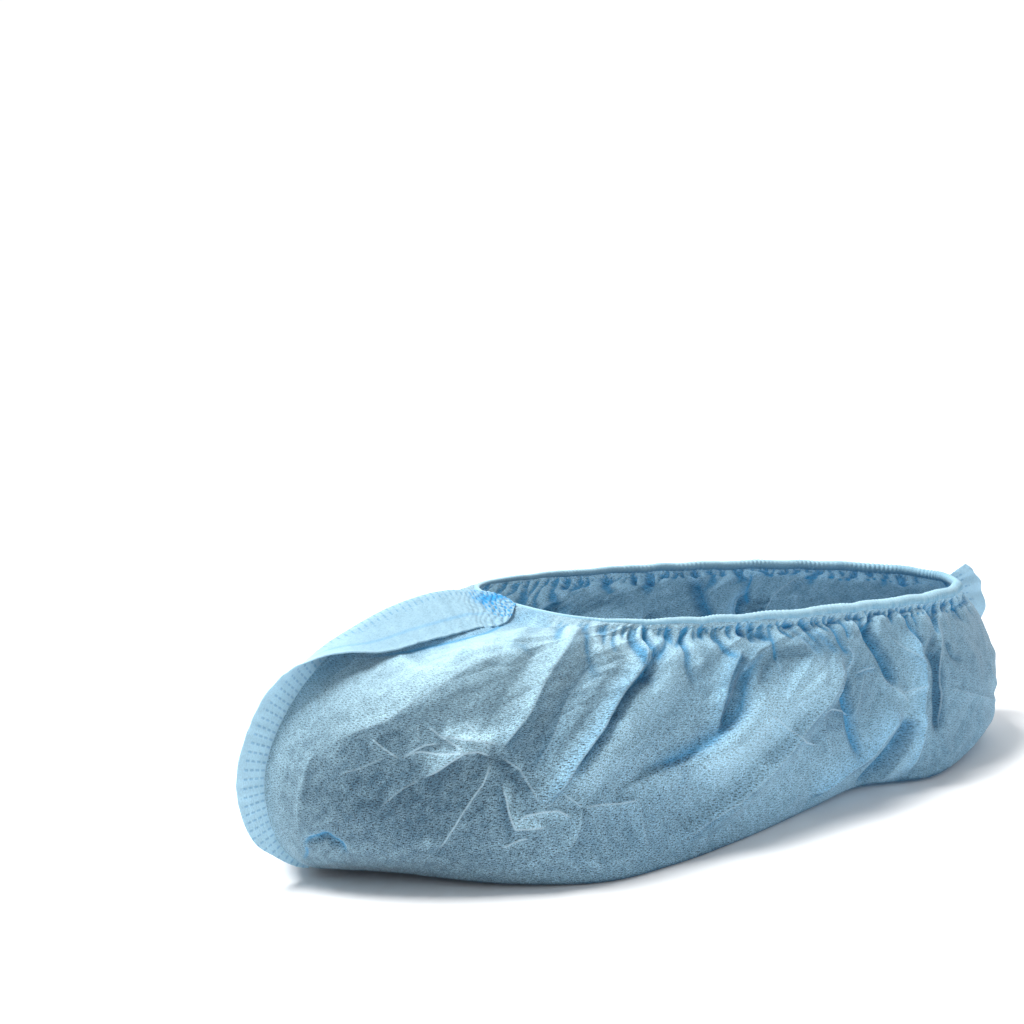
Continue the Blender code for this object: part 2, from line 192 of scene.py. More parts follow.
print("heights", round(VAMP_HEIGHT, 4), round(MOUTH_FRONT_HEIGHT, 4), round(HEEL_HEIGHT, 4))

# %% Outline and rings
# turn and along run from the toe to the heel, the next five columns are shares of the half width,
# and arch is the share of the lift under the waist. A ring's girth and mouth say how much of
# those outlines it has, the rest being the sole's, and its z columns are shares of the heights
HALF_TURN = 0.5
OUTLINE = (
    ("turn", "along", "sole_out", "sole_in", "girth_out", "girth_in", "mouth", "arch"),
    (0.00, 0.00, 0.00, 0.00, 0.00, 0.00, 0.00, 0.00),
    (0.08, 0.02, 0.09, 0.10, 0.30, 0.33, 0.50, 0.00),
    (0.16, 0.07, 0.30, 0.36, 0.57, 0.62, 0.77, 0.00),
    (0.24, 0.14, 0.70, 0.76, 0.80, 0.84, 0.90, 0.00),
    (0.32, 0.23, 0.98, 0.98, 0.95, 0.98, 0.97, 0.00),
    (0.42, 0.34, 1.01, 0.99, 1.00, 1.00, 1.00, 0.00),
    (0.52, 0.47, 0.91, 0.84, 0.96, 0.90, 1.00, 0.00),
    (0.62, 0.60, 0.76, 0.68, 0.89, 0.80, 0.95, 0.30),
    (0.70, 0.70, 0.67, 0.66, 0.83, 0.76, 0.89, 1.00),
    (0.78, 0.80, 0.78, 0.72, 0.79, 0.76, 0.79, 0.30),
    (0.86, 0.90, 0.58, 0.58, 0.66, 0.66, 0.60, 0.00),
    (0.93, 0.97, 0.33, 0.34, 0.38, 0.38, 0.35, 0.00),
    (1.00, 1.00, 0.00, 0.00, 0.00, 0.00, 0.00, 0.00),
)
RINGS = (
    ("level", "toe", "heel", "width", "girth", "mouth", "z_toe", "z_ball", "z_waist", "z_heel"),
    (0.00, 0.880, 0.945, 1.010, 0.0, 0.0, 0.03, 0.00, 0.00, 0.03),
    (0.10, 0.950, 0.995, 1.025, 0.5, 0.0, 0.12, 0.11, 0.11, 0.14),
    (0.28, 1.000, 0.993, 1.005, 1.0, 0.0, 0.39, 0.36, 0.34, 0.34),
    (0.46, 0.957, 1.000, 0.968, 0.8, 0.2, 0.64, 0.57, 0.53, 0.53),
    (0.66, 0.813, 0.980, 0.880, 0.4, 0.6, 0.895, 0.77, 0.72, 0.72),
    (0.86, 0.575, 0.945, 0.768, 0.1, 0.9, 1.00, 0.93, 0.87, 0.89),
)
BALL_TURN, WAIST_TURN = 0.34, 0.66
# The ring under the sole's edge, which turns the wall's foot in, and the step that gives normals
INNER_LEVEL, INNER_SHARE = -0.1, 0.9
NORMAL_STEP, RING_STEPS = 0.002, 721


def spline(knots, values, at):
    """The smooth curve through values at knots, read at each place in at."""
    knots, values, at = (np.asarray(item, float) for item in (knots, values, at))
    slopes = np.gradient(values, knots, axis=0)
    below = np.clip(np.searchsorted(knots, at, side="right") - 1, 0, len(knots) - 2)
    shape = (-1,) + (1,) * (values.ndim - 1)
    gap = (knots[below + 1] - knots[below]).reshape(shape)
    t = (at - knots[below]).reshape(shape) / gap
    return (
        (2 * t**3 - 3 * t**2 + 1) * values[below]
        + (t**3 - 2 * t**2 + t) * gap * slopes[below]
        + (3 * t**2 - 2 * t**3) * values[below + 1]
        + (t**3 - t**2) * gap * slopes[below + 1]
    )


def columns(table):
    """A table's columns by name."""
    return dict(zip(table[0], np.array(table[1:], float).T))


def rows_of(table):
    """A table's rows, each with its values by the columns' names."""
    return [dict(zip(table[0], row)) for row in table[1:]]


def there_and_back(out_side, in_side):
    """Values from the toe round the outer side to the heel, and back by the inner side."""
    return np.concatenate([out_side, in_side[-2:0:-1]])


def ring_points(toe, heel, half_width, girth, mouth, heights):
    """The control points of one ring, toe and heel being its ends along Y."""
    shape = columns(OUTLINE)
    sole = 1 - girth - mouth
    out_side = sole * shape["sole_out"] + girth * shape["girth_out"] + mouth * shape["mouth"]
    in_side = sole * shape["sole_in"] + girth * shape["girth_in"] + mouth * shape["mouth"]
    along = there_and_back(shape["along"], shape["along"])
    turn = there_and_back(shape["turn"], shape["turn"])
    z_toe, z_ball, z_waist, z_heel = heights
    knots = (-BALL_TURN, 0, BALL_TURN, WAIST_TURN, 1, 1 + BALL_TURN)
    z = spline(knots, (z_ball, z_toe, z_ball, z_waist, z_heel, z_waist), turn)
    z = z + sole * ARCH_LIFT * there_and_back(shape["arch"], shape["arch"])
    x = half_width * there_and_back(out_side, -in_side)
    return np.stack([x, toe + along * (heel - toe), z], axis=1)


def all_rings():
    """The turns, the levels and the control points of every ring."""
    turns = np.concatenate([columns(OUTLINE)["turn"], 2 - columns(OUTLINE)["turn"][-2:0:-1]])
    points = []
    for ring in rows_of(RINGS):
        heights = (
            VAMP_HEIGHT * ring["z_toe"],
            SIDE_HEIGHT * ring["z_ball"],
            SIDE_HEIGHT * ring["z_waist"],
            HEEL_HEIGHT * ring["z_heel"],
        )
        reach = (-TOE_REACH * ring["toe"], HEEL_REACH * ring["heel"], BALL_HALF_WIDTH * ring["width"])
        points.append(ring_points(*reach, ring["girth"], ring["mouth"], heights))
    mouth_heights = (MOUTH_FRONT_HEIGHT, MOUTH_SIDE_HEIGHT, MOUTH_WAIST_HEIGHT, HEEL_HEIGHT)
    points.append(ring_points(-MOUTH_FRONT, MOUTH_BACK, MOUTH_HALF_WIDTH, 0, 1, mouth_heights))
    return turns * HALF_TURN, np.append(columns(RINGS)["level"], 1.0), np.array(points)


RING_TURNS, RING_LEVELS, RING_POINTS = all_rings()


def smooth_wall(turns, levels):
    """Points of the unfolded wall, as an array of levels by turns by XYZ."""
    knots = np.concatenate([RING_TURNS[-3:] - 1, RING_TURNS, RING_TURNS[:3] + 1])
    wrapped = np.concatenate([RING_POINTS[:, -3:], RING_POINTS, RING_POINTS[:, :3]], axis=1)
    around = spline(knots, wrapped.transpose(1, 0, 2), np.asarray(turns, float) % 1)
    inner = around[:, :1] * (INNER_SHARE, INNER_SHARE, 1)
    stack = np.concatenate([inner, around], axis=1).transpose(1, 0, 2)
    points = spline(np.append(INNER_LEVEL, RING_LEVELS), stack, levels)
    points[..., 2] = np.maximum(points[..., 2], 0)
    return points


def unit(vectors):
    """Vectors of length one."""
    return vectors / np.linalg.norm(vectors, axis=-1, keepdims=True)


def fade(values, start, end):
    """0 up to start, 1 from end, and a soft rise between."""
    t = np.clip((np.asarray(values, float) - start) / (end - start), 0, 1)
    return t * t * (3 - 2 * t)


def bell(values, middle, width):
    """1 at the middle and a soft fall on both sides of it."""
    return np.exp(-(((values - middle) / width) ** 2))


def wall_normals(turns, levels):
    """Outward directions of the unfolded wall."""
    turns, levels = np.asarray(turns, float), np.asarray(levels, float)
    around = smooth_wall(turns + NORMAL_STEP, levels) - smooth_wall(turns - NORMAL_STEP, levels)
    lower, upper = np.maximum(levels - NORMAL_STEP, 0), np.minimum(levels + NORMAL_STEP, 1)
    return unit(np.cross(around, smooth_wall(turns, upper) - smooth_wall(turns, lower)))


def ring_length(level):
    """The way round the wall at one level."""
    ring = smooth_wall(np.linspace(0, 1, RING_STEPS), [level])[0]
    return np.linalg.norm(np.diff(ring, axis=0), axis=1).sum()


# %% [markdown]
# The mesh is a grid of columns round the cover and rows up it. The outer side, which is seen
# first, gets more columns, and the rows crowd together under the hem, where the gathers are fine.

# %% Grid
OUTER_COLUMNS, INNER_COLUMNS = 510, 270
WALL_ROWS, SOLE_ROWS = 116, 7
# From this level up the rows lie closer together by this factor
CROWD_FROM, CROWD_SOFT, CROWDING = 0.74, 0.08, 1.7
GIRTH_LEVEL = 0.3
turns = np.concatenate(
    [
        np.arange(OUTER_COLUMNS) / OUTER_COLUMNS * HALF_TURN,
        HALF_TURN + np.arange(INNER_COLUMNS) / INNER_COLUMNS * HALF_TURN,
    ]
)
even = np.linspace(0, 1, 1001)
density = np.cumsum(1 + (CROWDING - 1) * fade(even, CROWD_FROM, CROWD_FROM + CROWD_SOFT))
levels = np.interp(np.linspace(density[0], density[-1], WALL_ROWS + 1), density, even)
smooth = smooth_wall(turns, levels)
outward = wall_normals(turns, levels)
half = np.minimum(turns, 1 - turns) / HALF_TURN
side = np.where(turns < HALF_TURN, 1, -1)
girth = ring_length(GIRTH_LEVEL)
climb = np.linalg.norm(np.diff(smooth, axis=0), axis=2)
height_up = np.concatenate([np.zeros((1, len(turns))), np.cumsum(climb, axis=0)])
print("columns", len(turns), "rows", len(levels), "girth", round(girth, 3), "m")

# %% [markdown]
# ## Creases
# Thin cloth round a foot makes three kinds of line: a pointed ridge where two flat panels meet, a
# groove between two rolls, and a fold that leans over and hides a strip of cloth. All three are
# one thing here: a path over the wall, how far it spreads to the toe's side and to the heel's
# side, how high it stands, how far it leans towards the heel, and how sharp its crest is. A
# cloth simulation would make folds of its own, in other places, so these are laid along the
# lines that the photograph shows. The inner side can't be seen there: it gets the wider ones
# of the same folds, a little further back and lower.
#
# A crease also changes the cloth's colour. Beside it the cloth gets paler or darker, partly
# because it stands off or lies tight and partly as painted light and shade on its lit and its
# shaded side. Its own line is painted pale as a highlight where the cloth is bent outwards, and
# deep blue in a narrow groove, as painted shade and the blue of light passing through more layers.

# %% Crease table
# front, back and height are in mm and line is negative for a deep blue one: a pale line is a
# painted highlight and a deep blue one painted shade. tone_front and tone_back paint light and
# shade on either side, and blue paints blue shade. A path's points are thousandths of the
# half turn from the toe and hundredths of the way up
CREASES = (
    ("front", "back", "height", "lean", "sharp", "line", "tone_front", "tone_back", "blue", "path"),
    # The toe: its panels and the star of sharp lines over the ball of the foot
    (14, 10, 1.4, 0, 0.5, 0.25, 0.22, -0.2, 0,
     ((163, 80), (150, 71), (144, 63), (130, 56), (125, 53), (103, 49), (71, 42))),
    (4, 4, 0.8, 0, 0.5, 0, 0.12, -0.05, 0, ((71, 42), (64, 37), (64, 31), (61, 25), (57, 18))),
    (4, 3, 0.8, 0, 1, 0.8, 0.15, -0.05, 0, ((122, 48), (140, 46), (161, 44))),
    (3, 3, 0.7, 0, 1, 0.7, 0.1, 0.05, 0, ((190, 50), (177, 49), (170, 47), (161, 44))),
    (3, 4, 0.9, 0, 1, 0.9, -0.05, 0.2, 0, ((230, 49), (215, 48), (196, 47), (176, 47), (163, 45))),
    (7, 5, 1.8, 0, 1, 1, 0.42, -0.25, 0,
     ((245, 48), (230, 49), (217, 48), (209, 45), (201, 42), (188, 39))),
    (3, 3, 0.5, 0, 1, 0.45, 0.05, -0.05, 0, ((188, 39), (175, 36), (168, 34), (154, 29))),
    (3, 3, 0.9, 0, 1, 0.8, -0.05, 0.1, 0, ((167, 54), (186, 52), (206, 50), (218, 48))),
    (4, 7, 1.7, 0, 1, 0.9, -0.05, 0.6, 0, ((187, 52), (206, 52), (226, 52), (248, 52))),
    (3, 3, 0.7, 0, 1, 0.7, 0, 0.12, 0, ((198, 57), (213, 55), (228, 52), (241, 50))),
    (3, 3, 0.4, 0, 1, 0.4, 0.05, 0, 0, ((145, 44), (126, 40), (103, 37))),
    (3, 3, 0.8, 0, 1, 0.8, 0.02, 0.08, 0,
     ((248, 47), (248, 39), (239, 32), (229, 26), (216, 20), (206, 16))),
    (3, 3, 0.5, 0, 1, 0.35, 0.05, 0, 0, ((156, 54), (165, 51), (170, 49))),
    # The sole's pointed corner at the toe
    (2, 2.6, -2.2, 0, 0.5, -1.0, 0.4, -0.2, 0.4,
     ((117, 14), (112, 17), (103, 18), (94, 19), (81, 18), (68, 17), (54, 14))),
    (1.2, 1.5, -0.8, 0, 0.6, -1.2, -0.05, 0.3, 0.3, ((4, 3), (53, 11), (62, 15))),
    # Long folds that run from the hem down to the ball
    (7, 10, 2, 0.2, 0.8, 0.5, 0.38, -0.22, 0.1,
     ((152, 96), (171, 93), (211, 82), (248, 65), (251, 57), (249, 53), (250, 49))),
    (5, 4, -0.7, 0, 0.3, 0, -0.1, 0.05, 0, ((175, 84), (195, 77), (207, 71), (216, 65), (224, 58))),
    (3, 3, -0.6, 0, 0.5, 0, 0.1, -0.18, 0, ((180, 83), (182, 80), (175, 77), (169, 75))),
    (8, 6, -0.9, 0, 0.3, 0.25, -0.12, 0.18, 0.1,
     ((247, 86), (259, 82), (272, 74), (289, 60), (293, 53), (291, 47), (291, 40))),
    (2.5, 2.5, 0.6, 0, 0.8, 0.35, 0.08, -0.02, 0, ((161, 100), (226, 90), (263, 82))),
    (5, 4, 3, 0.5, 0.7, 0.55, 0.3, -0.42, 0.35,
     ((267, 95), (309, 84), (318, 78), (332, 60), (321, 46), (314, 38), (302, 30))),
    (1.5, 5, -2.6, 0, 0.6, 0, 0, -0.3, 0.3,
     ((308, 92), (324, 84), (332, 76), (340, 60), (336, 53), (329, 46), (321, 38))),
    (3, 4, 1, 0, 0.6, 0.25, 0, -0.15, 0.5, ((299, 95), (314, 90), (324, 84), (331, 77), (332, 71))),
    (8, 10, 2.2, 0, 0.1, 0, 0.26, 0.28, 0,
     ((359, 92), (368, 82), (375, 72), (362, 58), (351, 49), (336, 41), (323, 35))),
    # The low crumple on the side of the ball
    (3, 3, 1, 0, 1, 1, -0.05, 0.3, 0, ((331, 26), (318, 29), (303, 29), (288, 28), (277, 25))),
    (5, 4, 1.6, 0, 1, 1, 0.5, -0.2, 0,
     ((308, 24), (291, 24), (278, 24), (275, 28), (271, 34), (264, 40))),
    (2, 2, -1.2, 0, 0.7, 0.2, -0.22, -0.15, 0, ((276, 38), (279, 34), (278, 28))),
    (3.5, 3.5, -1.2, 0, 0.6, 0, -0.2, -0.22, 0, ((253, 48), (266, 44), (280, 39), (294, 36))),
    (2.5, 2.5, 0.7, 0, 1, 0.6, -0.05, 0.12, 0, ((255, 48), (275, 44), (290, 38), (302, 32))),
    (3, 3, 0.9, 0, 1, 0.8, 0, 0.12, 0, ((410, 28), (387, 28), (364, 29), (343, 29))),
    (3, 3, 0.8, 0, 1, 0.7, 0.12, 0, 0, ((343, 29), (333, 32), (321, 35))),
    (2, 2, -0.7, 0, 0.6, 0, -0.22, 0, 0, ((389, 29), (368, 29), (348, 30))),
    (5, 7, 1, 0, 0.6, 0.25, 0.14, -0.16, 0, ((342, 29), (337, 24), (327, 19), (309, 14))),
    (2, 2.5, 0.6, 0, 1, 0.9, 0, 0.1, 0, ((288, 21), (276, 20), (262, 18))),
    (4, 3, 0.6, 0, 0.5, 0.3, 0.1, 0, 0, ((410, 27), (405, 19), (399, 11))),
    (3, 3, 0.5, 0, 0.6, 0.25, 0.1, 0, 0, ((321, 34), (313, 32), (303, 30))),
    # Folds and rolls of the waist
    (6, 6, 1.8, 0.2, 0.5, 0.3, 0.25, -0.5, 0.25,
     ((458, 85), (460, 80), (469, 71), (476, 62), (481, 53), (484, 46))),
    (4, 5, -1.9, 0, 0.3, 0, -0.25, -0.2, 0.1, ((484, 77), (489, 69), (492, 61), (491, 54), (486, 48))),
    (7, 4, -1.6, 0, 0.4, -0.5, -0.25, 0.1, 0.45,
     ((494, 81), (501, 68), (507, 59), (503, 53), (474, 44), (444, 40), (417, 40))),
    (2, 8, 1.6, 0, 0.5, 0.2, -0.05, 0.2, 0,
     ((529, 62), (523, 57), (492, 46), (472, 42), (456, 38), (409, 35), (385, 31))),
    (3, 3, -1.4, 0, 0.4, 0, -0.3, -0.05, 0.1, ((471, 41), (450, 39), (428, 39), (408, 39))),
    (4, 4, -1.2, 0, 0.4, 0, -0.3, -0.25, 0,
     ((591, 73), (558, 75), (534, 77), (520, 74), (519, 69), (519, 63))),
    (12, 12, 3.6, 0.1, 0.1, 0, 0.36, 0.26, 0,
     ((617, 67), (586, 57), (559, 52), (535, 48), (513, 42), (488, 36), (465, 30))),
    (2, 2, -1, 0, 0.8, -1.1, 0.05, -0.15, 0.5, ((463, 98), (489, 90), (513, 81), (531, 74))),
    (2, 2, 0.4, 0, 1, 0.55, 0, 0, 0.2, ((530, 75), (549, 65), (564, 53))),
    (5, 8, 3, 0.2, 0.35, 0.4, 0.18, -0.24, 0.06,
     ((626, 70), (619, 56), (584, 37), (562, 29), (524, 21), (465, 14), (425, 7))),
    (2, 2.5, 0.7, 0, 1, 0.9, 0.1, 0, 0.1,
     ((618, 29), (597, 33), (586, 36), (576, 40), (561, 44), (545, 49), (529, 50))),
    (2, 2, 0.6, 0, 1, 0.8, 0, -0.1, 0.1, ((657, 39), (646, 42), (625, 45), (602, 46))),
    (3, 3, 0.5, 0, 0.6, 0.2, 0.08, 0, 0, ((610, 48), (621, 38), (635, 24))),
    (3, 3, -0.6, 0, 0.6, 0, 0.08, -0.15, 0.1, ((451, 38), (455, 33), (455, 29))),
    (4, 5, 0.7, 0, 0.5, 0.15, 0.12, -0.08, 0, ((520, 18), (494, 15), (471, 10), (457, 4))),
    (3, 2.5, -1.6, 0, 0.5, -1.1, 0.1, -0.1, 0.5, ((569, 96), (598, 84), (621, 75), (638, 69))),
    (2, 2, 0.8, 0, 0.9, 0.7, 0, 0.2, 0.3, ((627, 75), (642, 69), (642, 64), (633, 62))),
    # Grooves and folds in front of the heel
    (4, 5, -2.4, 0, 0.4, -0.5, -0.25, -0.2, 0.6,
     ((635, 63), (640, 52), (649, 43), (658, 35), (667, 25), (671, 18))),
    (3, 2, 1, 0.3, 0.6, 0.35, 0.15, -0.1, 0, ((631, 63), (629, 57), (626, 50), (625, 46))),
    (4, 6, -3.2, 0, 0.4, 0, -0.3, -0.45, 0.5,
     ((638, 90), (656, 81), (676, 73), (689, 67), (701, 60), (710, 53), (719, 49))),
    (3, 3, 1, 0, 0.9, 0.55, 0.1, 0.05, 0, ((687, 58), (703, 51), (715, 47), (728, 42), (735, 39))),
    (3, 3, 0.8, 0, 0.8, 0.5, 0, 0.25, 0, ((763, 47), (741, 46), (725, 45), (712, 50))),
    (14, 6, 3.2, 0.2, 0.6, 0.55, 0.26, -0.65, 0.3,
     ((727, 38), (707, 29), (692, 23), (678, 19), (650, 16), (617, 12), (600, 10))),
    (5, 7, -3, 0, 0.3, 0, -0.45, -0.35, 0.35,
     ((741, 32), (732, 26), (718, 20), (703, 14), (690, 9), (684, 2))),
    (4, 8, 1.6, 0, 0.3, 0.1, 0.05, 0.25, 0, ((748, 35), (743, 26), (730, 18), (718, 10), (717, 0))),
    (9, 5, 3.2, 0, 0.7, 0.55, 0.26, -0.6, 0.3,
     ((739, 81), (745, 62), (750, 56), (751, 47), (750, 29), (738, 11), (744, 2))),
    (4, 6, -2.4, 0, 0.4, 0, -0.75, -0.65, 0.12,
     ((768, 65), (775, 54), (776, 43), (778, 31), (772, 20))),
    (3, 4, -1.6, 0, 0.4, 0, -0.25, -0.25, 0, ((781, 70), (767, 67), (760, 60))),
    (3, 4, 1.2, 0, 0.9, 0.65, -0.05, 0.12, 0,
     ((803, 93), (790, 78), (783, 66), (781, 47), (784, 39), (783, 31), (777, 20))),
    (2.5, 2.5, 0.6, 0, 0.9, 0.5, 0.05, 0, 0, ((703, 75), (724, 68), (743, 61), (756, 55))),
    (2, 2.5, 0.7, 0, 1, 0.8, 0.15, -0.2, 0.3, ((686, 60), (668, 60), (652, 59))),
    (3, 3, 0.6, 0, 0.7, 0.3, 0.1, -0.1, 0, ((668, 59), (666, 50), (663, 41), (660, 36))),
    (2, 2.5, -1, 0, 0.6, 0, 0, -0.28, 0.1, ((798, 68), (800, 62), (805, 57), (822, 55))),
    # Faint creases of the packet on the heel
    (4, 4, 0.8, 0, 0.5, 0.2, 0.06, -0.06, 0, ((959, 52), (881, 44), (946, 16), (910, 5))),
    (3, 3, 0.6, 0, 0.6, 0.25, 0.06, -0.05, 0, ((794, 41), (818, 38), (971, 10), (923, 7))),
    # Grooves that start at the hem
    (3.5, 3.5, -1.8, 0, 0.5, -1, 0.1, -0.25, 0.5, ((719, 94), (733, 81), (746, 71), (755, 65))),
    (2.5, 2.5, -1.2, 0, 0.5, 0, 0.05, -0.1, 0.7, ((788, 99), (780, 83), (783, 71))),
    (2.5, 2.5, -1.2, 0, 0.5, -1, 0.1, -0.1, 0.4, ((236, 100), (265, 96), (291, 91))),
    (2.5, 2.5, -1.2, 0, 0.5, -1, 0.1, -0.1, 0.4, ((278, 100), (303, 95), (323, 89), (335, 83))),
    (2.5, 2.5, -1, 0, 0.5, -1, 0.1, -0.1, 0.4, ((317, 99), (331, 94), (342, 88))),
    (2, 2.5, -1, 0, 0.5, -1, 0.1, -0.1, 0.4, ((337, 100), (365, 93))),
    (2, 2.5, -1, 0, 0.5, -1, 0.1, -0.1, 0.4, ((404, 100), (436, 93))),
    (2.5, 2.5, -1.2, 0, 0.5, -1, 0.1, -0.1, 0.4, ((421, 100), (450, 93), (472, 87))),
    (2.5, 2.5, -1, 0, 0.5, 0.2, 0.1, -0.05, 0.5, ((493, 98), (529, 89), (569, 79), (600, 71))),
    (2.5, 2.5, -1.2, 0, 0.5, 0.2, 0.1, -0.05, 0.6, ((526, 98), (560, 88), (599, 77), (622, 70))),
    (2.5, 2.5, -1.2, 0, 0.5, -1, 0.1, -0.1, 0.4, ((589, 96), (614, 85), (630, 77))),
    (2, 2, -0.9, 0, 0.5, 0, 0.1, -0.1, 0.6, ((985, 90), (848, 90), (832, 79))),
    # The instep, and the shade under the folded fin's edge
    (3, 5, 0.9, 0, 0.6, 0.25, 0.12, -0.05, 0.1, ((107, 78), (118, 74), (127, 71))),
    (5, 5, 0.8, 0, 0.3, 0.1, 0.1, -0.05, 0.1, ((59, 100), (113, 90), (146, 82), (162, 77))),
    (4, 5, -0.7, 0, 0.3, 0, 0.08, -0.05, 0.25, ((68, 100), (111, 93), (141, 85))),
    (3, 3, -0.6, 0, 0.4, 0, 0.05, -0.15, 0, ((54, 66), (46, 64), (39, 61))),
    (2.5, 3, -0.6, 0, 0.4, -1.6, 0, 0.05, 0.5,
     ((32, 64.6), (42, 67.7), (53, 70.7), (63, 75.7), (70, 79.2), (75, 82.9), (75, 87.2), (61, 92),
      (43, 96.5))),
)
print("creases", len(CREASES) - 1)

# %% Laying a crease
OUTER, INNER = 1, -1
# On the inner side: how far back, how much lower, and the least width in mm that is repeated
INNER_SHIFT, INNER_DROP, INNER_LEAST = 0.02, 0.97, 6
PATH_STEPS, PATH_UNITS = 40, (0.001, 0.01)
# Shares of a crease's length over which it rises and dies out
CREASE_START, CREASE_END = 0.12, 0.2
STEP_SOFT = 0.7 * MM
# Lines that cross are kept in separate groups of values, so that each stays sharp
LINE_GROUPS, LINE_ZONE = 3, 2.6 * MM


def crease_path(crease, side):
    """Points along a crease on one side of the unfolded wall."""
    places = np.array(crease["path"], float) * PATH_UNITS
    if side == INNER:
        places = places * (1 - 2 * INNER_SHIFT, INNER_DROP) + (INNER_SHIFT, 0)
    knots = np.linspace(0, 1, len(places))
    at = np.linspace(0, 1, PATH_STEPS)
    if crease["sharp"] == 1:
        way = np.stack([np.interp(at, knots, part) for part in places.T], axis=1)
    else:
        way = spline(knots, places, at)
    turn = side * way[:, 0] * HALF_TURN
    return np.concatenate([smooth_wall([t], [v])[0] for t, v in zip(turn, way[:, 1])])


def lay_crease(crease, side, points, normals):
    """Adds one crease to the moves, the lifts, the painted light and shade beside it, the painted blue
    shade and the drawn lines of highlight and shade.
    """
    path = crease_path(crease, side)
    front, back = crease["front"] * MM, crease["back"] * MM
    reach = max(front, back, LINE_ZONE)
    near = ((points > path.min(0) - reach) & (points < path.max(0) + reach)).all(1).nonzero()[0]
    start, span = path[:-1], np.diff(path, axis=0)
    away = points[near, None] - start
    along = np.clip((away * span).sum(-1) / (span**2).sum(-1), 0, 1)
    gap = away - along[..., None] * span
    size = np.linalg.norm(gap, axis=-1)
    nearest = size.argmin(axis=1)
    rows = np.arange(len(near))
    across = side * unit(np.cross(normals[near], span[nearest]))
    size, behind = size[rows, nearest], (across * gap[rows, nearest]).sum(-1) > 0
    place = (nearest + along[rows, nearest]) / len(span)
    ends = fade(place, 0, CREASE_START) * (1 - fade(place, 1 - CREASE_END, 1))
    t = np.clip(1 - size / np.where(behind, back, front), 0, 1)
    crest = (crease["sharp"] * t * t + (1 - crease["sharp"]) * t * t * (3 - 2 * t)) * ends
    rise = crest * crease["height"] * MM
    move[near] += rise[:, None] * (normals[near] + crease["lean"] * across)
    lift[near] += rise
    apart = np.where(behind, size, -size)
    over = fade(apart, -STEP_SOFT, STEP_SOFT)
    in_front = np.clip(1 - size / front, 0, 1) * (1 - over)
    at_back = np.clip(1 - size / back, 0, 1)
    # Painted light and shade on the crease's two sides, and painted blue shade beside it
    side_light_and_shade[near] += ends * (crease["tone_front"] * in_front + crease["tone_back"] * at_back * over)
    shade = crease["blue"] * ends * np.where(behind, at_back, in_front) ** 2
    blue[near] = np.maximum(blue[near], shade)
    # The drawn line: positive is a painted pale highlight on the crest, negative painted deep blue shade
    mark = crease["line"] * ends * (1 - fade(size, 0.5 * LINE_ZONE, LINE_ZONE))
    if crease["line"]:
        crowd = [np.abs(painted_lines[k][near] * mark).sum() for k in range(LINE_GROUPS)]
        group = int(np.argmin(crowd))
        closer = (mark != 0) & ((size < np.abs(gaps[group][near])) | (painted_lines[group][near] == 0))
        gaps[group][near[closer]] = apart[closer]
        painted_lines[group][near[closer]] = mark[closer]


flat_points, flat_normals = smooth.reshape(-1, 3), outward.reshape(-1, 3)
move = np.zeros_like(flat_points)
lift, side_light_and_shade, blue = np.zeros((3, len(flat_points)))
gaps = np.full((LINE_GROUPS, len(flat_points)), LINE_ZONE)
painted_lines = np.zeros((LINE_GROUPS, len(flat_points)))
for crease in rows_of(CREASES):
    lay_crease(crease, OUTER, flat_points, flat_normals)
    if crease["front"] + crease["back"] >= INNER_LEAST:
        lay_crease(crease, INNER, flat_points, flat_normals)
print("creases move the wall by", round(lift.min() / MM, 1), "to", round(lift.max() / MM, 1), "mm")

# %% [markdown]
# ## Crumple
# Between its folds the cloth isn't smooth: it was folded flat in a packet, and it keeps small flat
# facets with straight creases between them. Scattered points joined into triangles, each point at
# its own height, give just that form, because a triangle is flat and its sides are straight.

# %% Facets
rng = np.random.default_rng(7)
SCATTER = 0.45
# Spacing and height of the wide, the middle and the fine facets
FACETS = ((26 * MM, 1.0 * MM), (12 * MM, 0.6 * MM), (6 * MM, 0.22 * MM))
# Levels over which they begin above the sole and end under the hem
FACETS_BEGIN, FACETS_END = (0.0, 0.10), (0.80, 0.97)


